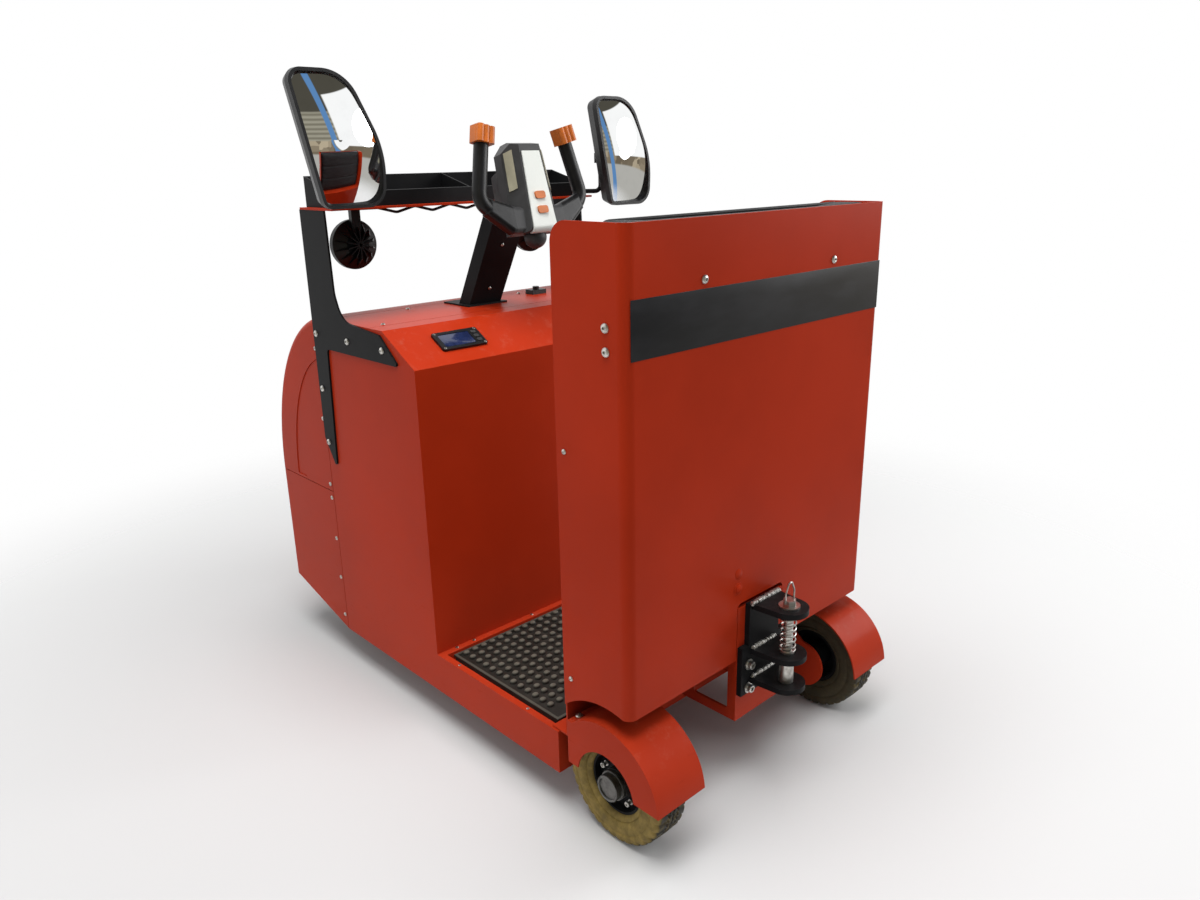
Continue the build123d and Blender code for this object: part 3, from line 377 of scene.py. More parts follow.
def mirror_glass(side):
    """Silvered glass whose bump bends the light as a domed mirror does."""
    low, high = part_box(f"mirror_glass_{side}")
    middle = (low + high) / 2
    dome = 0.3
    finish = Finish("mirror_glass", Metallic=1.0)
    place = finish.place()
    _, y, z = finish.parts(place)
    across = y - middle.y
    upward = z - middle.z
    bulge = 0.0 - (across * across + upward * upward) / (2 * dome)
    haze = finish.noise(place, 22.0, 6.0, 0.65)
    base = finish.mix(haze.over(0.4, 0.9), (0.93, 0.94, 0.94), (0.84, 0.85, 0.85))
    return finish.feed(
        Base_Color=base, Roughness=0.01 + 0.04 * haze.over(0.6, 0.95), Normal=finish.bump(bulge, 1.0)
    )


def tyre_rubber(colours, centre):
    """Tan dust on the sidewalls and painted shade on their inner sides, dark rubbed-down rubber on the tread, about an
    axle at centre.
    """
    finish = Finish("tyre_rubber", Specular_IOR_Level=0.3)
    place = finish.place()
    x, y, z = finish.parts(place)
    from_x = x - centre.x
    from_z = z - centre.z
    radius = (from_x * from_x + from_z * from_z) ** 0.5
    out = (y - centre.y).math("ABSOLUTE", y - centre.y)
    # Radii and offsets in metres between which dust gives way to bare tread
    crown = radius.over(0.119, 0.1235) * (1.0 - out.over(0.031, 0.037))
    blotch = finish.noise(place, 60.0, 6.0, 0.65)
    grit = finish.noise(place, 700.0, 3.0)
    bare = finish.noise(place, 16.0, 5.0, 0.6).over(0.62, 0.8) * 0.5
    dust_and_shade = finish.mix(blotch.over(0.3, 0.75), shade(colours.tan, 0.7), shade(colours.tan, 1.3))
    dust_and_shade = finish.mix(bare, dust_and_shade, shade(colours.tread, 1.2))
    # Painted shade: the inner sidewall, facing the machine, is darkened below the tread's own colour.
    outward = (y - centre.y) * math.copysign(1.0, centre.y)
    dust_and_shade = finish.mix(0.85 - 0.85 * outward.over(-0.025, 0.01), dust_and_shade, shade(colours.tread, 0.6))
    tread = finish.mix(blotch.over(0.45, 0.7), colours.tread, shade(colours.tan, 0.55))
    return finish.feed(
        Base_Color=finish.mix(crown, dust_and_shade, tread),
        Roughness=0.82 - 0.14 * crown + 0.1 * (grit - 0.5),
        Normal=finish.bump(0.6 * blotch + 0.4 * grit, 0.0009, 0.5),
    )


def mat_rubber(colours):
    """Dusty rubber, pale on top of the studs: partly rubbed rubber, partly a painted highlight."""
    finish = Finish("mat_rubber", Specular_IOR_Level=0.4)
    place = finish.place()
    height = finish.parts(place)[2]
    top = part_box("floor_mat")[1].z
    wear_and_highlight_depth = 4.5 * MM
    # The upper part of each stud is made pale: partly rubbed rubber, partly a painted highlight.
    wear_and_highlight = height.over(top - wear_and_highlight_depth, top)
    grit = finish.noise(place, 320.0, 4.0, 0.7)
    dust = finish.noise(place, 20.0, 6.0, 0.7)
    base = finish.mix(dust.over(0.35, 0.8), colours.mat, shade(colours.mat, 2.1))
    base = finish.mix(wear_and_highlight * (0.35 + 0.5 * grit), base, colours.wear_and_highlight)
    return finish.feed(
        Base_Color=base, Roughness=0.56 + 0.2 * dust - 0.1 * wear_and_highlight, Normal=finish.bump(grit, 0.0006, 0.45)
    )


def vinyl_cover(colours):
    """Grained vinyl with soft creases."""
    finish = Finish("vinyl_cover", Specular_IOR_Level=0.25)
    place = finish.place()
    hide = finish.cells(place, 620.0, "SMOOTH_F1")
    crease = finish.noise(finish.stretched(place, (30.0, 12.0, 60.0)), 1.0, 5.0, 0.6)
    base = finish.mix(crease.over(0.4, 0.8), colours.vinyl, shade(colours.vinyl, 1.8))
    fine = finish.bump(hide, 0.0006, 0.5)
    return finish.feed(
        Base_Color=base, Roughness=0.5 + 0.18 * crease, Normal=finish.bump(crease, 0.002, 0.18, fine)
    )


def dark_screen(colours):
    """Glass of a gauge that is off, with paler streaks that are painted highlights."""
    finish = Finish("gauge_screen", Coat_Weight=0.6, Coat_Roughness=0.04)
    place = finish.place()
    glint_streaks = finish.noise(finish.stretched(place, (3.0, 14.0, 9.0)), 4.0, 2.0)
    # Painted highlight: paler streaks across the dark glass.
    base = finish.mix(glint_streaks.over(0.4, 0.62), colours.screen, shade(colours.screen, 1.35))
    return finish.feed(Base_Color=base, Roughness=0.14 + 0.1 * glint_streaks)


def cast_iron(colours):
    """Painted casting with oily patches."""
    finish = Finish("painted_casting", Specular_IOR_Level=0.4)
    place = finish.place()
    sand = finish.noise(place, 260.0, 5.0, 0.7)
    oil = finish.noise(place, 14.0, 5.0, 0.6)
    base = finish.mix(oil.over(0.4, 0.7), colours.casting, (0.024, 0.022, 0.02))
    return finish.feed(Base_Color=base, Roughness=0.62 - 0.25 * oil, Normal=finish.bump(sand, 0.0012, 0.5))


def lamp_lens(colours):
    """Clear lens over a bright, faceted reflector."""
    finish = Finish("lamp_lens", Coat_Weight=0.7, Coat_Roughness=0.03)
    place = finish.place()
    cells = finish.cells(place, 70.0)
    base = finish.mix(cells.over(0.1, 0.55), colours.lens, (0.3, 0.31, 0.33))
    return finish.feed(Base_Color=base, Roughness=0.12 + 0.2 * cells, Normal=finish.bump(cells, 0.003, 0.6))


finishes = {}


def make_finishes(colours):
    """All finishes by their short names."""
    finishes.update(
        red=red_paint(colours),
        black=black_paint(colours),
        band=band_film(colours),
        grey=moulded("grey_plastic", colours.grey),
        jet=moulded("black_plastic", colours.jet, roughness=0.38),
        orange=moulded("orange_plastic", colours.orange, 0.0002, 0.34),
        pale=moulded("pale_window", colours.window, 0.0002, 0.3),
        white=white_fascia(colours),
        steel=steel(colours),
        turned=steel(colours, "turned_steel", 0.3, 0.4),
        weld=weld_metal(colours),
        mat=mat_rubber(colours),
        vinyl=vinyl_cover(colours),
        screen=dark_screen(colours),
        iron=cast_iron(colours),
        lens=lamp_lens(colours),
    )
    for side in SIDES:
        finishes[f"mirror_{side}"] = mirror_glass(side)
        finishes[f"tyre_{side}"] = tyre_rubber(colours, wheel_centre(side))


# Mesh building


def wheel_centre(side):
    """Middle of a rear wheel."""
    low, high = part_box(f"rear_tyre_{side}")
    return (low + high) / 2


def add_piece(name, mesh, finish, body, replaces=(), angle=35):
    """Puts a bmesh into the scene as a piece that rides on a body."""
    data = bpy.data.meshes.new(name)
    bmesh.ops.recalc_face_normals(mesh, faces=mesh.faces)
    mesh.to_mesh(data)
    mesh.free()
    data.materials.append(finishes[finish])
    data.polygons.foreach_set("use_smooth", [True] * len(data.polygons))
    data.set_sharp_from_angle(angle=math.radians(angle))
    piece = bpy.data.objects.new(name, data)
    bpy.context.scene.collection.objects.link(piece)
    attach(piece, body)
    if replaces:
        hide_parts(*replaces)
    return piece


def facing(point, normal, spin=0.0):
    """Frame at a point whose Z looks along normal."""
    turn = Vector(normal).to_track_quat("Z", "Y").to_matrix().to_4x4()
    return Matrix.Translation(point) @ turn @ Matrix.Rotation(spin, 4, "Z")


def angles(steps):
    """Angles of a full turn in even steps."""
    return [2 * math.pi * step / steps for step in range(steps)]


def lathe(mesh, profile, segments, matrix, reach=None):
    """Turns (radius, height) points about the frame's Z. reach(ring, angle) may scale a radius."""
    rings = []
    for index, (radius, height) in enumerate(profile):
        if radius == 0:
            rings.append([mesh.verts.new(matrix @ Vector((0, 0, height)))])
            continue
        ring = []
        for angle in angles(segments):
            size = radius * (reach(index, angle) if reach else 1.0)
            ring.append(mesh.verts.new(matrix @ Vector((size * math.cos(angle), size * math.sin(angle), height))))
        rings.append(ring)
    skin(mesh, rings)


def skin(mesh, rings, capped=False):
    """Faces from each ring to the next. A ring of one vertex is a point."""
    for first, second in zip(rings, rings[1:]):
        steps = max(len(first), len(second))
        for step in range(steps):
            after = (step + 1) % steps
            corners = [first[step % len(first)]]
            if len(first) > 1:
                corners.append(first[after])
            if len(second) > 1:
                corners.append(second[after])
            corners.append(second[step % len(second)])
            mesh.faces.new(corners)
    if capped:
        mesh.faces.new(rings[0])
        mesh.faces.new(rings[-1])


def tube(mesh, points, radius, sides=10):
    """Round wire along points, closed at both ends."""
    points = [Vector(point) for point in points]
    rings = []
    side = None
    for index, point in enumerate(points):
        before = points[max(index - 1, 0)]
        after = points[min(index + 1, len(points) - 1)]
        run = (after - before).normalized()
        side = run.orthogonal() if side is None else side - run * side.dot(run)
        side.normalize()
        other = run.cross(side)
        spokes = [side * math.cos(angle) + other * math.sin(angle) for angle in angles(sides)]
        rings.append([mesh.verts.new(point + spoke * radius) for spoke in spokes])
    skin(mesh, rings, capped=True)


def rounded_slab(mesh, matrix, width, depth, height, corner, edge, steps=5):
    """Plate with round corners and a soft top edge, standing on the frame's XY plane."""
    inset_rows = [(0.0, 0.0), (0.0, height - edge)]
    for step in range(1, 4):
        turn = math.pi / 2 * step / 3
        inset_rows.append((edge * (1 - math.cos(turn)), height - edge + edge * math.sin(turn)))
    rings = []
    for inset, level in inset_rows:
        reach = max(corner - inset, 0.0001)
        ring = []
        for quarter in range(4):
            centre_x = (width / 2 - corner) * (1 if quarter in (0, 3) else -1)
            centre_y = (depth / 2 - corner) * (1 if quarter in (0, 1) else -1)
            for step in range(steps + 1):
                angle = math.pi / 2 * (quarter + step / steps)
                spot = (centre_x + reach * math.cos(angle), centre_y + reach * math.sin(angle), level)
                ring.append(mesh.verts.new(matrix @ Vector(spot)))
        rings.append(ring)
    skin(mesh, rings, capped=True)


def hexagon(angle):
    """Reach of a hexagon of unit flat radius at an angle."""
    return 1.0 / math.cos((angle % (math.pi / 3)) - math.pi / 6)


def socketed(mesh, profile, segments, matrix):
    """Turned head whose last three rings are a hexagon socket."""
    inner = len(profile) - 4
    lathe(mesh, profile, segments, matrix, lambda ring, angle: hexagon(angle) if ring > inner else 1.0)


def button_screw(mesh, matrix, radius):
    """Domed screw head with a hexagon socket."""
    rise = radius * 0.62
    socket = radius * 0.36
    profile = [(radius, 0.0), (radius, rise * 0.18)]
    for step in range(1, 5):
        turn = math.pi / 2 * step / 5
        profile.append((radius * math.cos(turn) * 0.98 + socket * 0.04, rise * (0.18 + 0.82 * math.sin(turn))))
    top = rise * 0.985
    profile += [(socket * 1.12, top), (socket, top - rise * 0.1), (socket, rise * 0.35), (0, rise * 0.35)]
    socketed(mesh, profile, 24, matrix)


def socket_screw(mesh, matrix, radius, high):
    """Cylinder head screw on a washer."""
    washer = radius * 1.45
    socket = radius * 0.52
    thin = radius * 0.22
    profile = [
        (washer, 0.0), (washer, thin), (radius, thin), (radius, high - radius * 0.15), (radius * 0.86, high),
        (socket * 1.1, high), (socket, high - radius * 0.08), (socket, high * 0.5), (0, high * 0.5),
    ]
    socketed(mesh, profile, 30, matrix)


def hexagon_bolt(mesh, matrix, radius, shank, high):
    """Long bolt with a nut at its root and a hexagon head at its outer end."""
    across = radius * 1.75
    profile = [
        (across, 0.0), (across, high * 0.6), (radius, high * 0.6), (radius, shank - high), (across, shank - high),
        (across, shank - high * 0.2), (across * 0.86, shank), (radius * 0.9, shank), (radius * 0.8, shank - high * 0.4),
        (0, shank - high * 0.4),
    ]
    flats = (0, 1, 4, 5)
    lathe(mesh, profile, 30, matrix, lambda ring, angle: hexagon(angle) if ring in flats else 1.0)


# Operators, one for each piece or group of like pieces


class TUG_OT_paint(bpy.types.Operator):
    """Gives every CAD piece its finish."""

    bl_idname = "tug.paint"
    bl_label = "Paint the pieces"

    node_finishes = {
        "red": (
            "chassis tow_bracket drive_deck side_panel_left side_panel_right dash_panel top_cover nose_cover "
            "nose_panel rear_panel kick_panel fender_left fender_right shelf"
        ),
        "black": (
            "tow_hitch pillar_left pillar_right tray column mirror_arm_left mirror_arm_right rear_rim_left "
            "rear_rim_right"
        ),
        "jet": (
            "work_lamp_left work_lamp_right lamp_lead mirror_head_left mirror_head_right gauge top_latch battery "
            "head_grips"
        ),
        "grey": "head_housing",
        "white": "head_fascia",
        "pale": "head_windows",
        "orange": "head_buttons head_caps",
        "steel": "hitch_pin pull_ring steering_neck stub_axle_left stub_axle_right hitch_spring",
        "mirror_left": "mirror_glass_left",
        "mirror_right": "mirror_glass_right",
        "mat": "floor_mat drive_tyre",
        "vinyl": "back_pad",
        "tyre_left": "rear_tyre_left",
        "tyre_right": "rear_tyre_right",
        "iron": "drive_case drive_motor drive_rim",
    }

    def execute(self, context):
        make_finishes(context.scene.tug_colours)
        left = set(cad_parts)
        for finish, names in self.node_finishes.items():
            for name in names.split():
                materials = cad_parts[name].data.materials
                materials.clear()
                materials.append(finishes[finish])
                left.discard(name)
        if left:
            raise RuntimeError(f"pieces without a finish: {sorted(left)}")
        return {"FINISHED"}


class TUG_OT_tyres(bpy.types.Operator):
    """Builds the rear tyres with ringed sidewalls and block tread."""

    bl_idname = "tug.tyres"
    bl_label = "Build the tyres"

    per_pitch = 10
    crown_steps = 14
    crown_drop = 1.2 * MM
    # From the bead to the shoulder: share of the wall's height and of the half width
    wall_rows = (
        (0.0, 0.70), (0.03, 0.80), (0.10, 0.86), (0.16, 0.90), (0.18, 0.87), (0.21, 0.87), (0.23, 0.93),
        (0.34, 0.985), (0.46, 1.0), (0.58, 1.0), (0.60, 0.97), (0.63, 0.97), (0.65, 1.0), (0.74, 0.99),
        (0.82, 0.965), (0.87, 0.94), (0.915, 0.905), (0.95, 0.865), (0.975, 0.82), (0.99, 0.75),
    )
    crown_share = 0.70

    def section(self, half, bead, radius):
        """Half section from the bead to the middle of the tread: radius and outward offset."""
        wall = radius - bead
        half_section = [(bead + wall * share, half * out) for share, out in self.wall_rows]
        for step in range(self.crown_steps + 1):
            across = 1 - step / self.crown_steps
            half_section.append((radius - self.crown_drop * across**2, half * self.crown_share * across))
        return half_section

    def groove(self, turn, out):
        """Share of the full groove depth at a place on the tread; turn runs 0 to 1 over a pitch."""
        side = 0.0 if out > 0 else 0.5
        turn = (turn + side) % 1.0
        across = abs(out)
        wave = 0.05 * (1 if (turn * 2) % 1.0 < 0.5 else -1)
        lengthwise = max(
            self.notch(across - 0.30 - wave, 0.05),
            self.notch(out - 0.6 * wave, 0.045),
        )
        shoulder = self.notch(turn - 0.25, 0.17) * self.ramp(across, 0.40, 0.46)
        middle = self.notch(turn - 0.72 + 0.25 * across, 0.08) * (1 - self.ramp(across, 0.26, 0.32)) * 0.8
        return max(lengthwise, shoulder, middle)

    @staticmethod
    def ramp(value, low, high):
        return min(1.0, max(0.0, (value - low) / (high - low)))

    def notch(self, distance, half):
        return 1.0 - self.ramp(abs(distance), half * 0.7, half)

    def build(self, side, sizes):
        low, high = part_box(f"rear_tyre_{side}")
        centre = (low + high) / 2
        radius = (high.z - low.z) / 2
        half = (high.y - low.y) / 2
        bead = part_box(f"rear_rim_{side}")[1].z - centre.z
        outer = self.section(half, bead, radius)
        rows = outer + [(reach, -out) for reach, out in reversed(outer[:-1])]
        grip_low, grip_high = (bead + share * (radius - bead) for share in (0.76, 0.92))
        mesh = bmesh.new()
        rings = []
        for reach, out in rows:
            depth = self.ramp(reach, grip_low, grip_high) * sizes.tread_depth
            ring = []
            for step, angle in enumerate(angles(sizes.tread_pitches * self.per_pitch)):
                size = reach - self.groove(step / self.per_pitch % 1.0, out / half) * depth
                spot = centre + Vector((size * math.cos(angle), out, size * math.sin(angle)))
                ring.append(mesh.verts.new(spot))
            rings.append(ring)
        skin(mesh, rings + rings[:1])
        name = f"rear_tyre_tread_{side}"
        add_piece(name, mesh, f"tyre_{side}", f"wheel_{side}", [f"rear_tyre_{side}"], 50)

    def execute(self, context):
        for side in SIDES:
            self.build(side, context.scene.tug_sizes)
        return {"FINISHED"}


class TUG_OT_wheel_bolts(bpy.types.Operator):
    """Adds the rear wheels' bolts and bare steel hub caps."""

    bl_idname = "tug.wheel_bolts"
    bl_label = "Add the wheel bolts"

    circle = 46.0 * MM
    disc_face = 12.0 * MM
    shank = 26.0 * MM
    radius = 3.2 * MM
    head = 5.0 * MM
    first_turn = 0.3
    # Hub from the disc outwards: radius and distance from the wheel's middle, in millimetres
    hub = (
        (31.25, 20), (31.25, 29.6), (29.3, 30.2), (29.3, 32.8), (31.25, 33.4), (31.25, 39.4), (30.4, 40.3),
        (27.8, 40.3), (27.8, 53.2), (26.8, 54.4), (23.4, 54.4), (22.3, 53.6), (21.8, 51.4), (0, 51.4),
    )

    def execute(self, context):
        bolts = context.scene.tug_sizes.wheel_bolts
        for side, sign in SIDES.items():
            centre = wheel_centre(side)
            outward = Vector((0, sign, 0))
            mesh = bmesh.new()
            for index in range(bolts):
                angle = 2 * math.pi * (index + self.first_turn) / bolts
                spoke = Vector((math.cos(angle), 0, math.sin(angle))) * self.circle
                point = centre + spoke + outward * self.disc_face
                hexagon_bolt(mesh, facing(point, outward), self.radius, self.shank - self.disc_face, self.head)
            add_piece(f"wheel_bolts_{side}", mesh, "steel", f"wheel_{side}")
            cap = bmesh.new()
            lathe(cap, [metres(*ring) for ring in self.hub], 48, facing(centre, outward))
            add_piece(f"hub_cap_{side}", cap, "turned", f"wheel_{side}")
        return {"FINISHED"}


class TUG_OT_floor_mat(bpy.types.Operator):
    """Builds the studded rubber mat."""

    bl_idname = "tug.floor_mat"
    bl_label = "Build the floor mat"

    corner = 10.0 * MM
    edge = 1.5 * MM
    front_inset = 12.0 * MM
    sink = 0.5 * MM
    border_share = 0.7

    def stud(self, mesh, centre, sizes):
        """Oval dome on the mat."""
        levels = 4
        rings = []
        for level in range(levels):
            turn = math.pi / 2 * level / levels
            across = math.cos(turn) ** 0.55 / 2
            ring = []
            for angle in angles(14):
                out_x = sizes.stud_width * across * math.cos(angle)
                out_y = sizes.stud_length * across * math.sin(angle)
                ring.append(mesh.verts.new(centre + Vector((out_x, out_y, sizes.stud_height * math.sin(turn)))))
            rings.append(ring)
        rings.append([mesh.verts.new(centre + Vector((0, 0, sizes.stud_height)))])
        skin(mesh, rings)

    def execute(self, context):
        sizes = context.scene.tug_sizes
        low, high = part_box("floor_mat")
        top = high.z - sizes.stud_height
        mesh = bmesh.new()
        middle = (low + high) / 2
        base = Matrix.Translation((middle.x, middle.y, low.z))
        rounded_slab(mesh, base, high.x - low.x, high.y - low.y, top - low.z, self.corner, self.edge)
        self.border(mesh, low, high, top, sizes)
        pitch = sizes.stud_pitch
        rows = int((high.x - low.x - 2 * sizes.mat_border) / pitch)
        columns = int((high.y - low.y - 2 * sizes.mat_border) / pitch)
        for row in range(rows):
            for column in range(columns):
                x = high.x - self.front_inset - row * pitch
                y = middle.y + (column - (columns - 1) / 2) * pitch
                self.stud(mesh, Vector((x, y, top)), sizes)
        add_piece("studded_mat", mesh, "mat", "chassis_body", ["floor_mat"], 50)
        return {"FINISHED"}

    def border(self, mesh, low, high, top, sizes):
        """Raised rim with sloped sides round the mat."""
        wide = sizes.mat_border
        rise = sizes.stud_height * self.border_share
        profile = [(0.0, -self.sink), (0.0, rise * 0.8), (wide * 0.15, rise), (wide * 0.7, rise), (wide, -self.sink)]
        rings = []
        for inset, level in profile:
            corners = [
                (low.x + inset, low.y + inset), (high.x - inset, low.y + inset),
                (high.x - inset, high.y - inset), (low.x + inset, high.y - inset),
            ]
            rings.append([mesh.verts.new((x, y, top + level)) for x, y in corners])
        skin(mesh, rings)


class TUG_OT_back_pad(bpy.types.Operator):
    """Builds the vinyl back pad as a stuffed cushion with piping."""

    bl_idname = "tug.back_pad"
    bl_label = "Build the back pad"

    shrink = 9.0 * MM
    voxel = 9.0 * MM
    swell = 14.0 * MM
    pressure = 4.0
    frames = 20
    welt = 3.5 * MM
    welt_corner = 30.0 * MM
    welt_setback = 26.0 * MM
    dip = 10.0 * MM
    round_edge = 22.0 * MM
    seam_shares = (0.36, 0.68)
    seam_depth = 9.0 * MM
    seam_width = 9.0 * MM

    def stuffed(self, low, high):
        """Mesh of the pad after it is blown up a little inside its cover."""
        mesh = bmesh.new()
        bmesh.ops.create_cube(mesh, size=1.0)
        size = high - low - Vector((self.shrink, 2 * self.shrink, 2 * self.shrink))
        middle = (low + high) / 2 - Vector((self.shrink / 2, 0, 0))
        bmesh.ops.transform(mesh, matrix=Matrix.Translation(middle) @ Matrix.Diagonal((*size, 1.0)), verts=mesh.verts)
        bmesh.ops.bevel(mesh, geom=mesh.edges[:], offset=self.round_edge, segments=4, profile=0.5, affect="EDGES")
        data = bpy.data.meshes.new("pad_core")
        mesh.to_mesh(data)
        mesh.free()
        pad = bpy.data.objects.new("back_pad_cushion", data)
        bpy.context.scene.collection.objects.link(pad)
        remesh = pad.modifiers.new("voxels", "REMESH")
        remesh.mode = "VOXEL"
        remesh.voxel_size = self.voxel
        self.bake(pad)
        self.inflate(pad)
        return pad

    @staticmethod
    def bake(pad):
        """Replaces the mesh by the one its modifiers give."""
        graph = bpy.context.evaluated_depsgraph_get()
        graph.update()
        done = bpy.data.meshes.new_from_object(pad.evaluated_get(graph))
        pad.modifiers.clear()
        pad.data = done

    def inflate(self, pad):
        """Blows the cover up by cloth pressure, each point by no more than the swell."""
        start = [vertex.co.copy() for vertex in pad.data.vertices]
        cloth = pad.modifiers.new("cloth", "CLOTH")
        cloth.settings.use_pressure = True
        cloth.settings.uniform_pressure_force = self.pressure
        cloth.settings.effector_weights.gravity = 0.0
        cloth.settings.quality = 4
        scene = bpy.context.scene
        for number in range(1, self.frames + 1):
            scene.frame_set(number)
        self.bake(pad)
        scene.frame_set(1)
        for vertex, before in zip(pad.data.vertices, start):
            move = vertex.co - before
            if move.length > self.swell:
                move *= self.swell / move.length
            vertex.co = before + move

    def execute(self, context):
        low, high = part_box("back_pad")
        high.z -= self.dip
        pad = self.stuffed(low, high)
        self.fit(pad, low, high)
        self.sew(pad, low, high)
        pad.modifiers.new("smooth", "SUBSURF").levels = 1
        self.bake(pad)
        pad.data.materials.clear()
        pad.data.materials.append(finishes["vinyl"])
        pad.data.polygons.foreach_set("use_smooth", [True] * len(pad.data.polygons))
        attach(pad, "chassis_body")
        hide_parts("back_pad")
        self.piping(low, high)
        return {"FINISHED"}

    @staticmethod
    def fit(pad, low, high):
        """Brings the blown-up cover back to the pad's own box."""
        for axis in range(3):
            places = [vertex.co[axis] for vertex in pad.data.vertices]
            start = min(places)
            scale = (high[axis] - low[axis]) / (max(places) - start)
            for vertex, place in zip(pad.data.vertices, places):
                vertex.co[axis] = low[axis] + (place - start) * scale

    def sew(self, pad, low, high):
        """Presses two sewn channels across the front face."""
        for share in self.seam_shares:
            seam = low.z + (high.z - low.z) * share
            for vertex in pad.data.vertices:
                if vertex.co.x > (low.x + high.x) / 2:
                    vertex.co.x -= self.seam_depth * math.exp(-(((vertex.co.z - seam) / self.seam_width) ** 2))

    def piping(self, low, high):
        """Welt round the edge where the front and side covers meet."""
        mesh = bmesh.new()
        corner = self.welt_corner
        inset = corner + self.welt
        x = high.x - self.welt_setback
        points = []
        for quarter in range(4):
            centre_y = high.y - inset if quarter in (0, 3) else low.y + inset
            centre_z = high.z - inset if quarter in (0, 1) else low.z + inset
            for step in range(7):
                angle = math.pi / 2 * (quarter + step / 6)
                points.append((x, centre_y + corner * math.cos(angle), centre_z + corner * math.sin(angle)))
        points.append(points[0])
        tube(mesh, points, self.welt, 8)
        add_piece("back_pad_piping", mesh, "vinyl", "chassis_body")


class TUG_OT_hitch(bpy.types.Operator):
    """Adds the coil spring, weld beads and bolts of the tow hitch."""

    bl_idname = "tug.hitch"
    bl_label = "Dress the tow hitch"

    bolt_half = 49.0 * MM
    bolt_rows = (232.0 * MM, 287.0 * MM)
    plate_thick = 12.0 * MM
    jaw_tops = (253.0 * MM, 321.0 * MM, 425.0 * MM)
    bead_half = (39.0 * MM, 39.0 * MM, 45.0 * MM)
    bead_pitch = 2.4 * MM
    bolt_radius = 8.5 * MM
    bolt_head = 12.0 * MM
    bolt_spin = 0.3
    # Turns at each end of the spring that lie close, and their pitch in wire diameters
    closed_turns = 0.85
    closed_pitch = 0.9
    steps_per_turn = 26

    def execute(self, context):
        sizes = context.scene.tug_sizes
        self.spring(sizes)
        self.welds(sizes)
        self.bolts()
        return {"FINISHED"}

    def spring(self, sizes):
        low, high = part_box("hitch_spring")
        centre = (low + high) / 2
        wire = sizes.spring_wire / 2
        radius = (high.x - low.x) / 2 - wire
        span = high.z - low.z - 2 * wire
        turns = sizes.spring_turns
        flat = self.closed_turns
        close_rise = 2 * wire * self.closed_pitch
        steps = turns * self.steps_per_turn
        points = []
        for step in range(steps + 1):
            turn = turns * step / steps
            climb = min(max((turn - flat) / (turns - 2 * flat), 0.0), 1.0)
            close = (min(turn, flat) + max(turn - turns + flat, 0.0)) * close_rise
            z = low.z + wire + close + climb * (span - 2 * flat * close_rise)
            angle = 2 * math.pi * turn
            points.append((centre.x + radius * math.cos(angle), centre.y + radius * math.sin(angle), z))
        mesh = bmesh.new()
        tube(mesh, points, wire, 8)
        piece = add_piece("hitch_coil_spring", mesh, "steel", "chassis_body", ["hitch_spring"])
        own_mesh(piece)

    def welds(self, sizes):
        """Rows of overlapping weld drops along each jaw's root."""
        draw = random.Random(7)
        mesh = bmesh.new()
        face = REAR_FACE - self.plate_thick
        for top, half in zip(self.jaw_tops, self.bead_half):
            drops = int(2 * half / self.bead_pitch)
            for index in range(drops + 1):
                y = -half + 2 * half * index / drops
                size = sizes.weld_width / 2 * draw.uniform(0.65, 1.1)
                spot = Vector((face - 1.0 * MM, y, top + draw.uniform(-0.6, 0.8) * MM))
                tilt = Matrix.Rotation(draw.uniform(-0.5, 0.5), 4, "X")
                drop = Matrix.Translation(spot) @ tilt @ Matrix.Diagonal((1.0, 0.55, 1.0, 1.0))
                bmesh.ops.create_icosphere(mesh, subdivisions=2, radius=size, matrix=drop)
        add_piece("hitch_welds", mesh, "weld", "chassis_body", angle=180)

    def bolts(self):
        mesh = bmesh.new()
        face = REAR_FACE - self.plate_thick
        for y in (-self.bolt_half, self.bolt_half):
            for z in self.bolt_rows:
                matrix = facing((face, y, z), (-1, 0, 0), self.bolt_spin)
                socket_screw(mesh, matrix, self.bolt_radius, self.bolt_head)
        add_piece("hitch_bolts", mesh, "steel", "chassis_body")


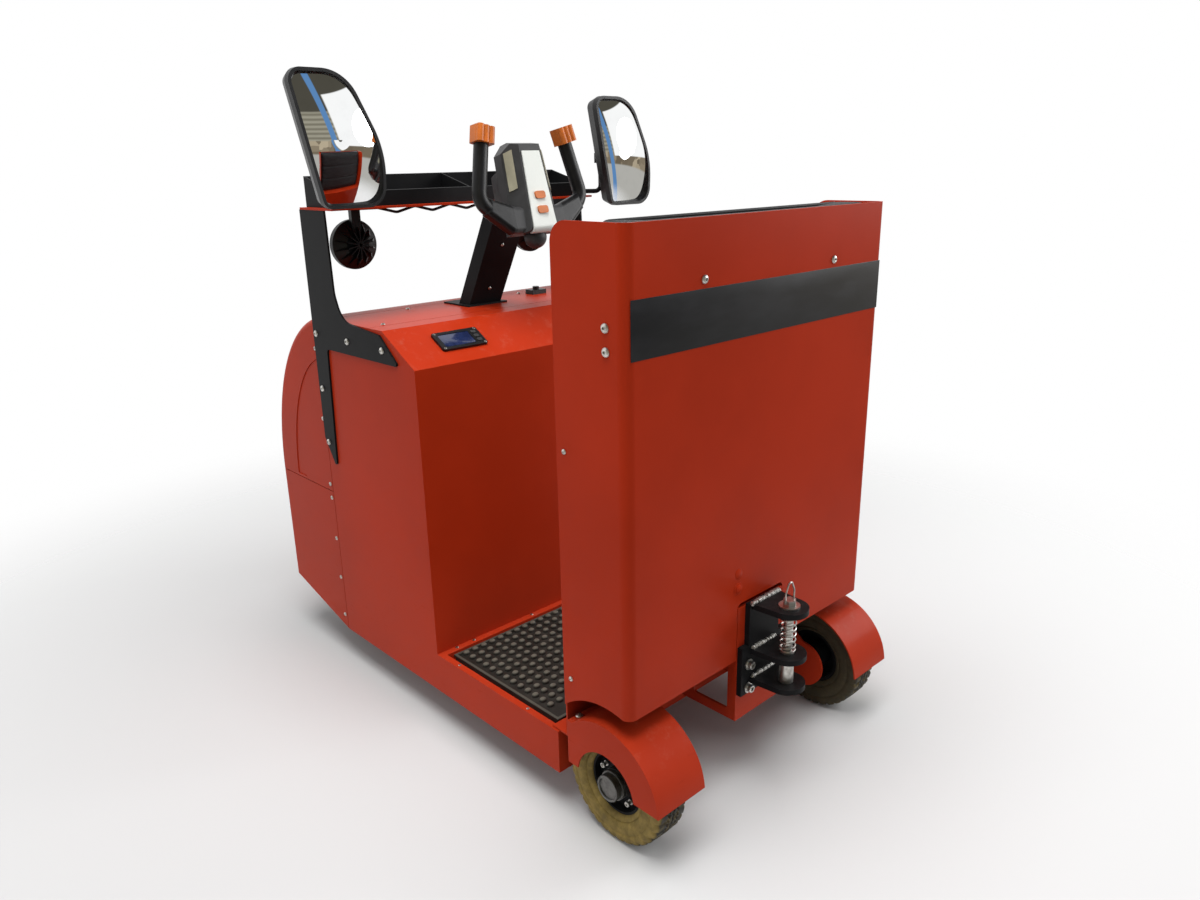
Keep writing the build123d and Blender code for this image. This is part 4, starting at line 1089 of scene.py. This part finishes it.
class TUG_OT_screws(bpy.types.Operator):
    """Adds the screws of the body sheets."""

    bl_idname = "tug.screws"
    bl_label = "Add the screws"

    # Side faces, in millimetres: ahead of the backrest's rear face, and up
    pillar = ((1063, 903), (911, 902), (757, 901), (1061, 765), (1059, 626))
    nose = tuple((1088, height) for height in (862, 681, 504, 466, 351, 238, 126))
    flange_large = ((47, 1033), (46, 993))
    flange_small = ((159, 796), (159, 329))
    # Level faces: ahead, and to the left
    lid = ((833, 345), (833, -345), (989, -180), (989, 180))
    fender_bolt = (159, 374)
    fender_top = 236
    sill_lip = (560, 312)
    lip_inset = 9
    step_rise = 99
    foot_rows = (341, 291, 109)
    foot_inset = 12
    foot_rise = 4
    # Rear face: to the left, and up
    backrest = ((198, 1097), (-203, 1097))
    # Steering column's rear face: x and z in the shared frame
    column = ((190.8, 1099.5), (253.2, 986.9))
    column_lean = math.radians(29.0)
    # Painted plug and bolt above the hitch: to the left, height, and rings of radius and rise
    painted = (
        (77, 499, ((11, 0), (11, 0.6), (10, 1.2), (0, 1.3))),
        (77, 466, ((14, 0), (14, 0.8), (9, 1.4), (8.5, 3.2), (5, 4.6), (0, 5))),
    )

    def execute(self, context):
        sizes = context.scene.tug_sizes
        large = bmesh.new()
        small = bmesh.new()
        for y, z in self.backrest:
            button_screw(large, facing((REAR_FACE, *metres(y, z)), (-1, 0, 0)), sizes.panel_screw)
        for side in SIDES.values():
            self.side_faces(large, small, side, sizes)
            self.level_faces(large, small, side, sizes)
        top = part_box("top_cover")[1].z
        for distance, y in self.lid:
            button_screw(small, facing((ahead(distance), y * MM, top), (0, 0, 1)), sizes.small_screw * 1.2)
        backward = (-math.cos(self.column_lean), 0, -math.sin(self.column_lean))
        for x, z in self.column:
            button_screw(small, facing(metres(x, 0, z), backward), sizes.small_screw)
        add_piece("panel_screws", large, "steel", "chassis_body")
        add_piece("sheet_screws", small, "steel", "chassis_body")
        self.painted_heads()
        return {"FINISHED"}

    def side_faces(self, large, small, side, sizes):
        """Screws of the pillar, the nose and the backrest's flange on one side."""
        rows = (
            (large, "pillar_left", self.pillar, sizes.panel_screw),
            (small, "side_panel_left", self.nose, sizes.small_screw * 1.2),
            (large, "rear_panel", self.flange_large, sizes.panel_screw * 1.1),
            (small, "rear_panel", self.flange_small, sizes.small_screw * 1.2),
        )
        for mesh, node, places, radius in rows:
            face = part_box(node)[1].y * side
            for distance, z in places:
                button_screw(mesh, facing((ahead(distance), face, z * MM), (0, side, 0)), radius)

    def level_faces(self, large, small, side, sizes):
        """Screws in the sill's lip, the foot of the dash and the fender on one side."""
        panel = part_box("side_panel_left")
        lip = (panel[1].y - self.lip_inset * MM) * side
        step_top = panel[0].z + self.step_rise * MM
        for distance in self.sill_lip:
            button_screw(small, facing((ahead(distance), lip, step_top), (0, 0, 1)), sizes.small_screw * 0.8)
        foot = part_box("dash_panel")[0]
        for y in self.foot_rows:
            spot = (foot.x + self.foot_inset * MM, side * y * MM, foot.z + self.foot_rise * MM)
            button_screw(small, facing(spot, (0, 0, 1)), sizes.small_screw)
        distance, y = self.fender_bolt
        spot = (ahead(distance), side * y * MM, self.fender_top * MM)
        button_screw(large, facing(spot, (0, 0, 1)), sizes.panel_screw)

    def painted_heads(self):
        """A thin plug and a domed bolt, painted over with the panel."""
        mesh = bmesh.new()
        for y, z, rings in self.painted:
            lathe(mesh, [metres(*ring) for ring in rings], 36, facing((REAR_FACE, *metres(y, z)), (-1, 0, 0)))
        add_piece("painted_heads", mesh, "red", "chassis_body")


class TUG_OT_band(bpy.types.Operator):
    """Lays the blank black film across the backrest."""

    bl_idname = "tug.band"
    bl_label = "Lay the backrest band"

    film = 0.5 * MM
    bend = 21.0 * MM
    bend_share = 0.55
    corner = 1.0 * MM
    edge = 0.2 * MM

    def execute(self, context):
        sizes = context.scene.tug_sizes
        low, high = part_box("rear_panel")
        mesh = bmesh.new()
        wide = high.y - low.y - 2 * self.bend * self.bend_share
        tall = sizes.band_high - sizes.band_low
        # A quarter turn brings the slab's width upright
        matrix = facing((low.x, 0, sizes.band_low + tall / 2), (-1, 0, 0), -math.pi / 2)
        rounded_slab(mesh, matrix, tall, wide, self.film, self.corner, self.edge)
        add_piece("backrest_band", mesh, "band", "chassis_body")
        return {"FINISHED"}


class TUG_OT_gauge(bpy.types.Operator):
    """Adds the gauge's screen, keys and screws."""

    bl_idname = "tug.gauge"
    bl_label = "Dress the gauge"

    slope = math.atan2(72.0, 122.0)
    # On the face, in millimetres: across, along and up from the middle; slabs by width, depth, height, corner and edge
    screen_place = (-8, 0, 1.2)
    screen_slab = (83, 41, 0.9, 3, 0.3)
    key_places = tuple((46, along, 3.0) for along in (-14, 0, 14))
    key_slab = (13, 9, 1.6, 3, 0.6)
    screw_places = tuple((across, along, 2.8) for across in (-55, 55) for along in (-25, 25))
    screw_radius = 3.2 * MM

    def execute(self, context):
        low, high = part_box("gauge")
        normal = Vector((-math.sin(self.slope), 0, math.cos(self.slope)))
        across = Vector((0, -1, 0))
        turn = Matrix((across, normal.cross(across), normal)).transposed().to_4x4()
        face = Matrix.Translation((low + high) / 2) @ turn
        screen = bmesh.new()
        rounded_slab(screen, face @ Matrix.Translation(metres(*self.screen_place)), *metres(*self.screen_slab))
        add_piece("gauge_screen", screen, "screen", "chassis_body")
        keys = bmesh.new()
        for place in self.key_places:
            rounded_slab(keys, face @ Matrix.Translation(metres(*place)), *metres(*self.key_slab))
        add_piece("gauge_keys", keys, "grey", "chassis_body")
        screws = bmesh.new()
        for place in self.screw_places:
            button_screw(screws, face @ Matrix.Translation(metres(*place)), self.screw_radius)
        add_piece("gauge_screws", screws, "steel", "chassis_body")
        return {"FINISHED"}


class TUG_OT_lamps(bpy.types.Operator):
    """Adds the work lamps' bezels and lenses."""

    bl_idname = "tug.lamps"
    bl_label = "Dress the work lamps"

    # Finish, slot, and rings by share of the lamp's radius and millimetres ahead of its face
    parts = {
        "lens": ("lens", "white_plastic", ((0.86, 0.0), (0.84, 1.4), (0.4, 3.2), (0, 3.6))),
        "bezel": ("jet", "black_plastic", ((0.97, 0.0), (0.97, 2.0), (0.93, 3.4), (0.87, 3.0), (0.84, 0.0))),
    }

    def execute(self, context):
        for side in SIDES:
            low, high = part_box(f"work_lamp_{side}")
            radius = (high.y - low.y) / 2
            matrix = facing((high.x, (low.y + high.y) / 2, low.z + radius), (1, 0, 0))
            for name, (finish, slot, rings) in self.parts.items():
                mesh = bmesh.new()
                lathe(mesh, [(radius * share, out * MM) for share, out in rings], 40, matrix)
                add_piece(f"work_lamp_{name}_{side}", mesh, finish, "chassis_body")
        return {"FINISHED"}


class TUG_OT_stage(bpy.types.Operator):
    """Sets the floor, the light and the camera."""

    bl_idname = "tug.stage"
    bl_label = "Set the stage"

    floor_radius = 40.0
    # Distance from the middle at which the floor starts to fade and is gone, in metres
    fade = (1.0, 2.6)
    # Name, place, target, diameter in metres and power in watts
    lamps = (
        ("key_light", (-0.5, 0.6, 4.0), (0.0, 0.0, 0.6), 3.0, 170.0),
        ("door_light", (-2.0, -3.0, 2.0), (-0.3, -0.2, 0.5), 2.0, 60.0),
        ("side_fill", (0.8, 3.8, 1.8), (0.2, 0.0, 0.6), 2.2, 22.0),
    )
    # The one lamp that shows in reflections
    glossy_lamp = "door_light"
    sensor_width = 36.0
    view_reach = 200.0

    def execute(self, context):
        stage = context.scene.tug_stage
        self.floor(stage)
        self.world(context.scene, stage)
        self.lights()
        self.camera(context.scene, stage)
        context.scene.view_settings.view_transform = "Standard"
        return {"FINISHED"}

    def floor(self, stage):
        """Pale round floor that fades into the background."""
        mesh = bmesh.new()
        bmesh.ops.create_circle(mesh, cap_ends=True, segments=64, radius=self.floor_radius)
        data = bpy.data.meshes.new("stage_floor")
        mesh.to_mesh(data)
        mesh.free()
        floor = bpy.data.objects.new("stage_floor", data)
        bpy.context.scene.collection.objects.link(floor)
        finish = Finish("stage_floor", Base_Color=stage.floor, Roughness=0.9, Specular_IOR_Level=0.1)
        x, y, _ = finish.parts(finish.place())
        away = (x * x + y * y) ** 0.5
        finish.feed(Alpha=1.0 - away.over(*self.fade))
        data.materials.append(finish.material)

    def world(self, scene, stage):
        """White background, soft grey light on the object, and a hall behind the camera that mirrors show."""
        scene.world = bpy.data.worlds.new("studio")
        scene.world.use_nodes = True
        hall = Nodes(scene.world.node_tree)
        rays = hall.node("ShaderNodeLightPath").socket.node.outputs
        camera, glossy, through = (Wire(hall, rays[f"Is {kind} Ray"]) for kind in ("Camera", "Glossy", "Transmission"))
        way = hall.node("ShaderNodeTexCoord", output="Generated")
        behind = 1.0 - hall.parts(way)[0].over(0.05, 0.2)
        background = hall.mix(glossy * behind, WHITE, self.hall_view(hall, way))
        back = hall.tree.nodes["Background"]
        hall.plug(back.inputs["Color"], hall.mix(camera + glossy + through, stage.soft_light, background))

    @staticmethod
    def hall_view(hall, way):
        """Ribbed wall, dark roof with panes, pale goods and floor, a blue post and a white door on the right."""
        rib, wall = (0.2, 0.185, 0.14), (0.36, 0.34, 0.27)
        dark_crate, pale_crate = (0.08, 0.06, 0.04), (0.5, 0.42, 0.3)
        ground, roof = (0.45, 0.44, 0.41), (0.075, 0.07, 0.055)
        pane, post = (0.85, 0.74, 0.52), (0.11, 0.25, 0.5)
        x, y, z = hall.parts(way)
        right = 0.15 * x - 0.95 * y + 0.3 * z

        def strip(value, low, high):
            return value.over(low, low + 0.015) - value.over(high, high + 0.015)

        view = hall.mix(0.5 + 0.5 * z.math("SINE", z * 95.0), rib, wall)
        settings = {"feature": "F1", "distance": "CHEBYCHEV"}
        crates = hall.node("ShaderNodeTexVoronoi", settings, {"Vector": way, "Scale": 7.0}, output="Color")
        goods = hall.mix(hall.parts(crates)[0], dark_crate, pale_crate)
        view = hall.mix(1.0 - z.over(0.0, 0.02), view, goods)
        view = hall.mix(1.0 - z.over(-0.2, -0.17), view, ground)
        view = hall.mix(z.over(0.4, 0.43), view, roof)
        bars = z.math("FRACT", z * 9.0).over(0.14, 0.2)
        view = hall.mix(strip(right, -0.5, -0.3) * strip(z, 0.48, 0.78) * bars, view, pane)
        view = hall.mix(strip(right, 0.18, 0.27), view, post)
        return hall.mix(right.over(0.3, 0.33) * strip(z, -0.06, 0.6), view, WHITE)

    def lights(self):
        """Round area lamps."""
        for name, place, target, size, power in self.lamps:
            data = bpy.data.lights.new(name, "AREA")
            data.shape = "DISK"
            data.size = size
            data.energy = power
            light = bpy.data.objects.new(name, data)
            light.visible_glossy = name == self.glossy_lamp
            bpy.context.scene.collection.objects.link(light)
            light.location = place
            light.rotation_euler = (Vector(target) - Vector(place)).to_track_quat("-Z", "Y").to_euler()

    def camera(self, scene, stage):
        """Camera at the photograph's viewing angle."""
        data = bpy.data.cameras.new("camera")
        camera = bpy.data.objects.new("camera", data)
        scene.collection.objects.link(camera)
        back = -Vector(stage.camera_aim).normalized()
        up = Vector(stage.camera_up)
        right = up.cross(back).normalized()
        up = back.cross(right)
        turn = Matrix((right, up, back)).transposed().to_4x4()
        camera.matrix_world = Matrix.Translation(stage.camera_place) @ turn
        data.sensor_fit = "HORIZONTAL"
        data.sensor_width = self.sensor_width
        data.lens = stage.lens
        data.clip_end = self.view_reach
        scene.camera = camera


class TUG_PT_sidebar(bpy.types.Panel):
    """Lists the steps in the 3D view's sidebar."""

    bl_idname = "TUG_PT_sidebar"
    bl_label = "Baggage Tug"
    bl_space_type = "VIEW_3D"
    bl_region_type = "UI"
    bl_category = "Tug"

    def draw(self, context):
        for group in (context.scene.tug_colours, context.scene.tug_sizes, context.scene.tug_stage):
            column = self.layout.column(align=True)
            for name in group.__annotations__:
                column.prop(group, name)
        for operator in operators:
            self.layout.operator(operator.bl_idname)


groups = {"tug_colours": TugColours, "tug_sizes": TugSizes, "tug_stage": TugStage}
operators = (
    TUG_OT_paint,
    TUG_OT_tyres,
    TUG_OT_wheel_bolts,
    TUG_OT_floor_mat,
    TUG_OT_back_pad,
    TUG_OT_hitch,
    TUG_OT_screws,
    TUG_OT_band,
    TUG_OT_gauge,
    TUG_OT_lamps,
    TUG_OT_stage,
)


def register():
    for cls in (*groups.values(), *operators, TUG_PT_sidebar):
        bpy.utils.register_class(cls)
    for name, group in groups.items():
        setattr(bpy.types.Scene, name, bpy.props.PointerProperty(type=group))


def unregister():
    for name in groups:
        delattr(bpy.types.Scene, name)
    for cls in reversed((*groups.values(), *operators, TUG_PT_sidebar)):
        bpy.utils.unregister_class(cls)


def main():
    register()
    for operator in operators:
        family, step = operator.bl_idname.split(".")
        getattr(getattr(bpy.ops, family), step)()


if __name__ == "__main__":
    main()
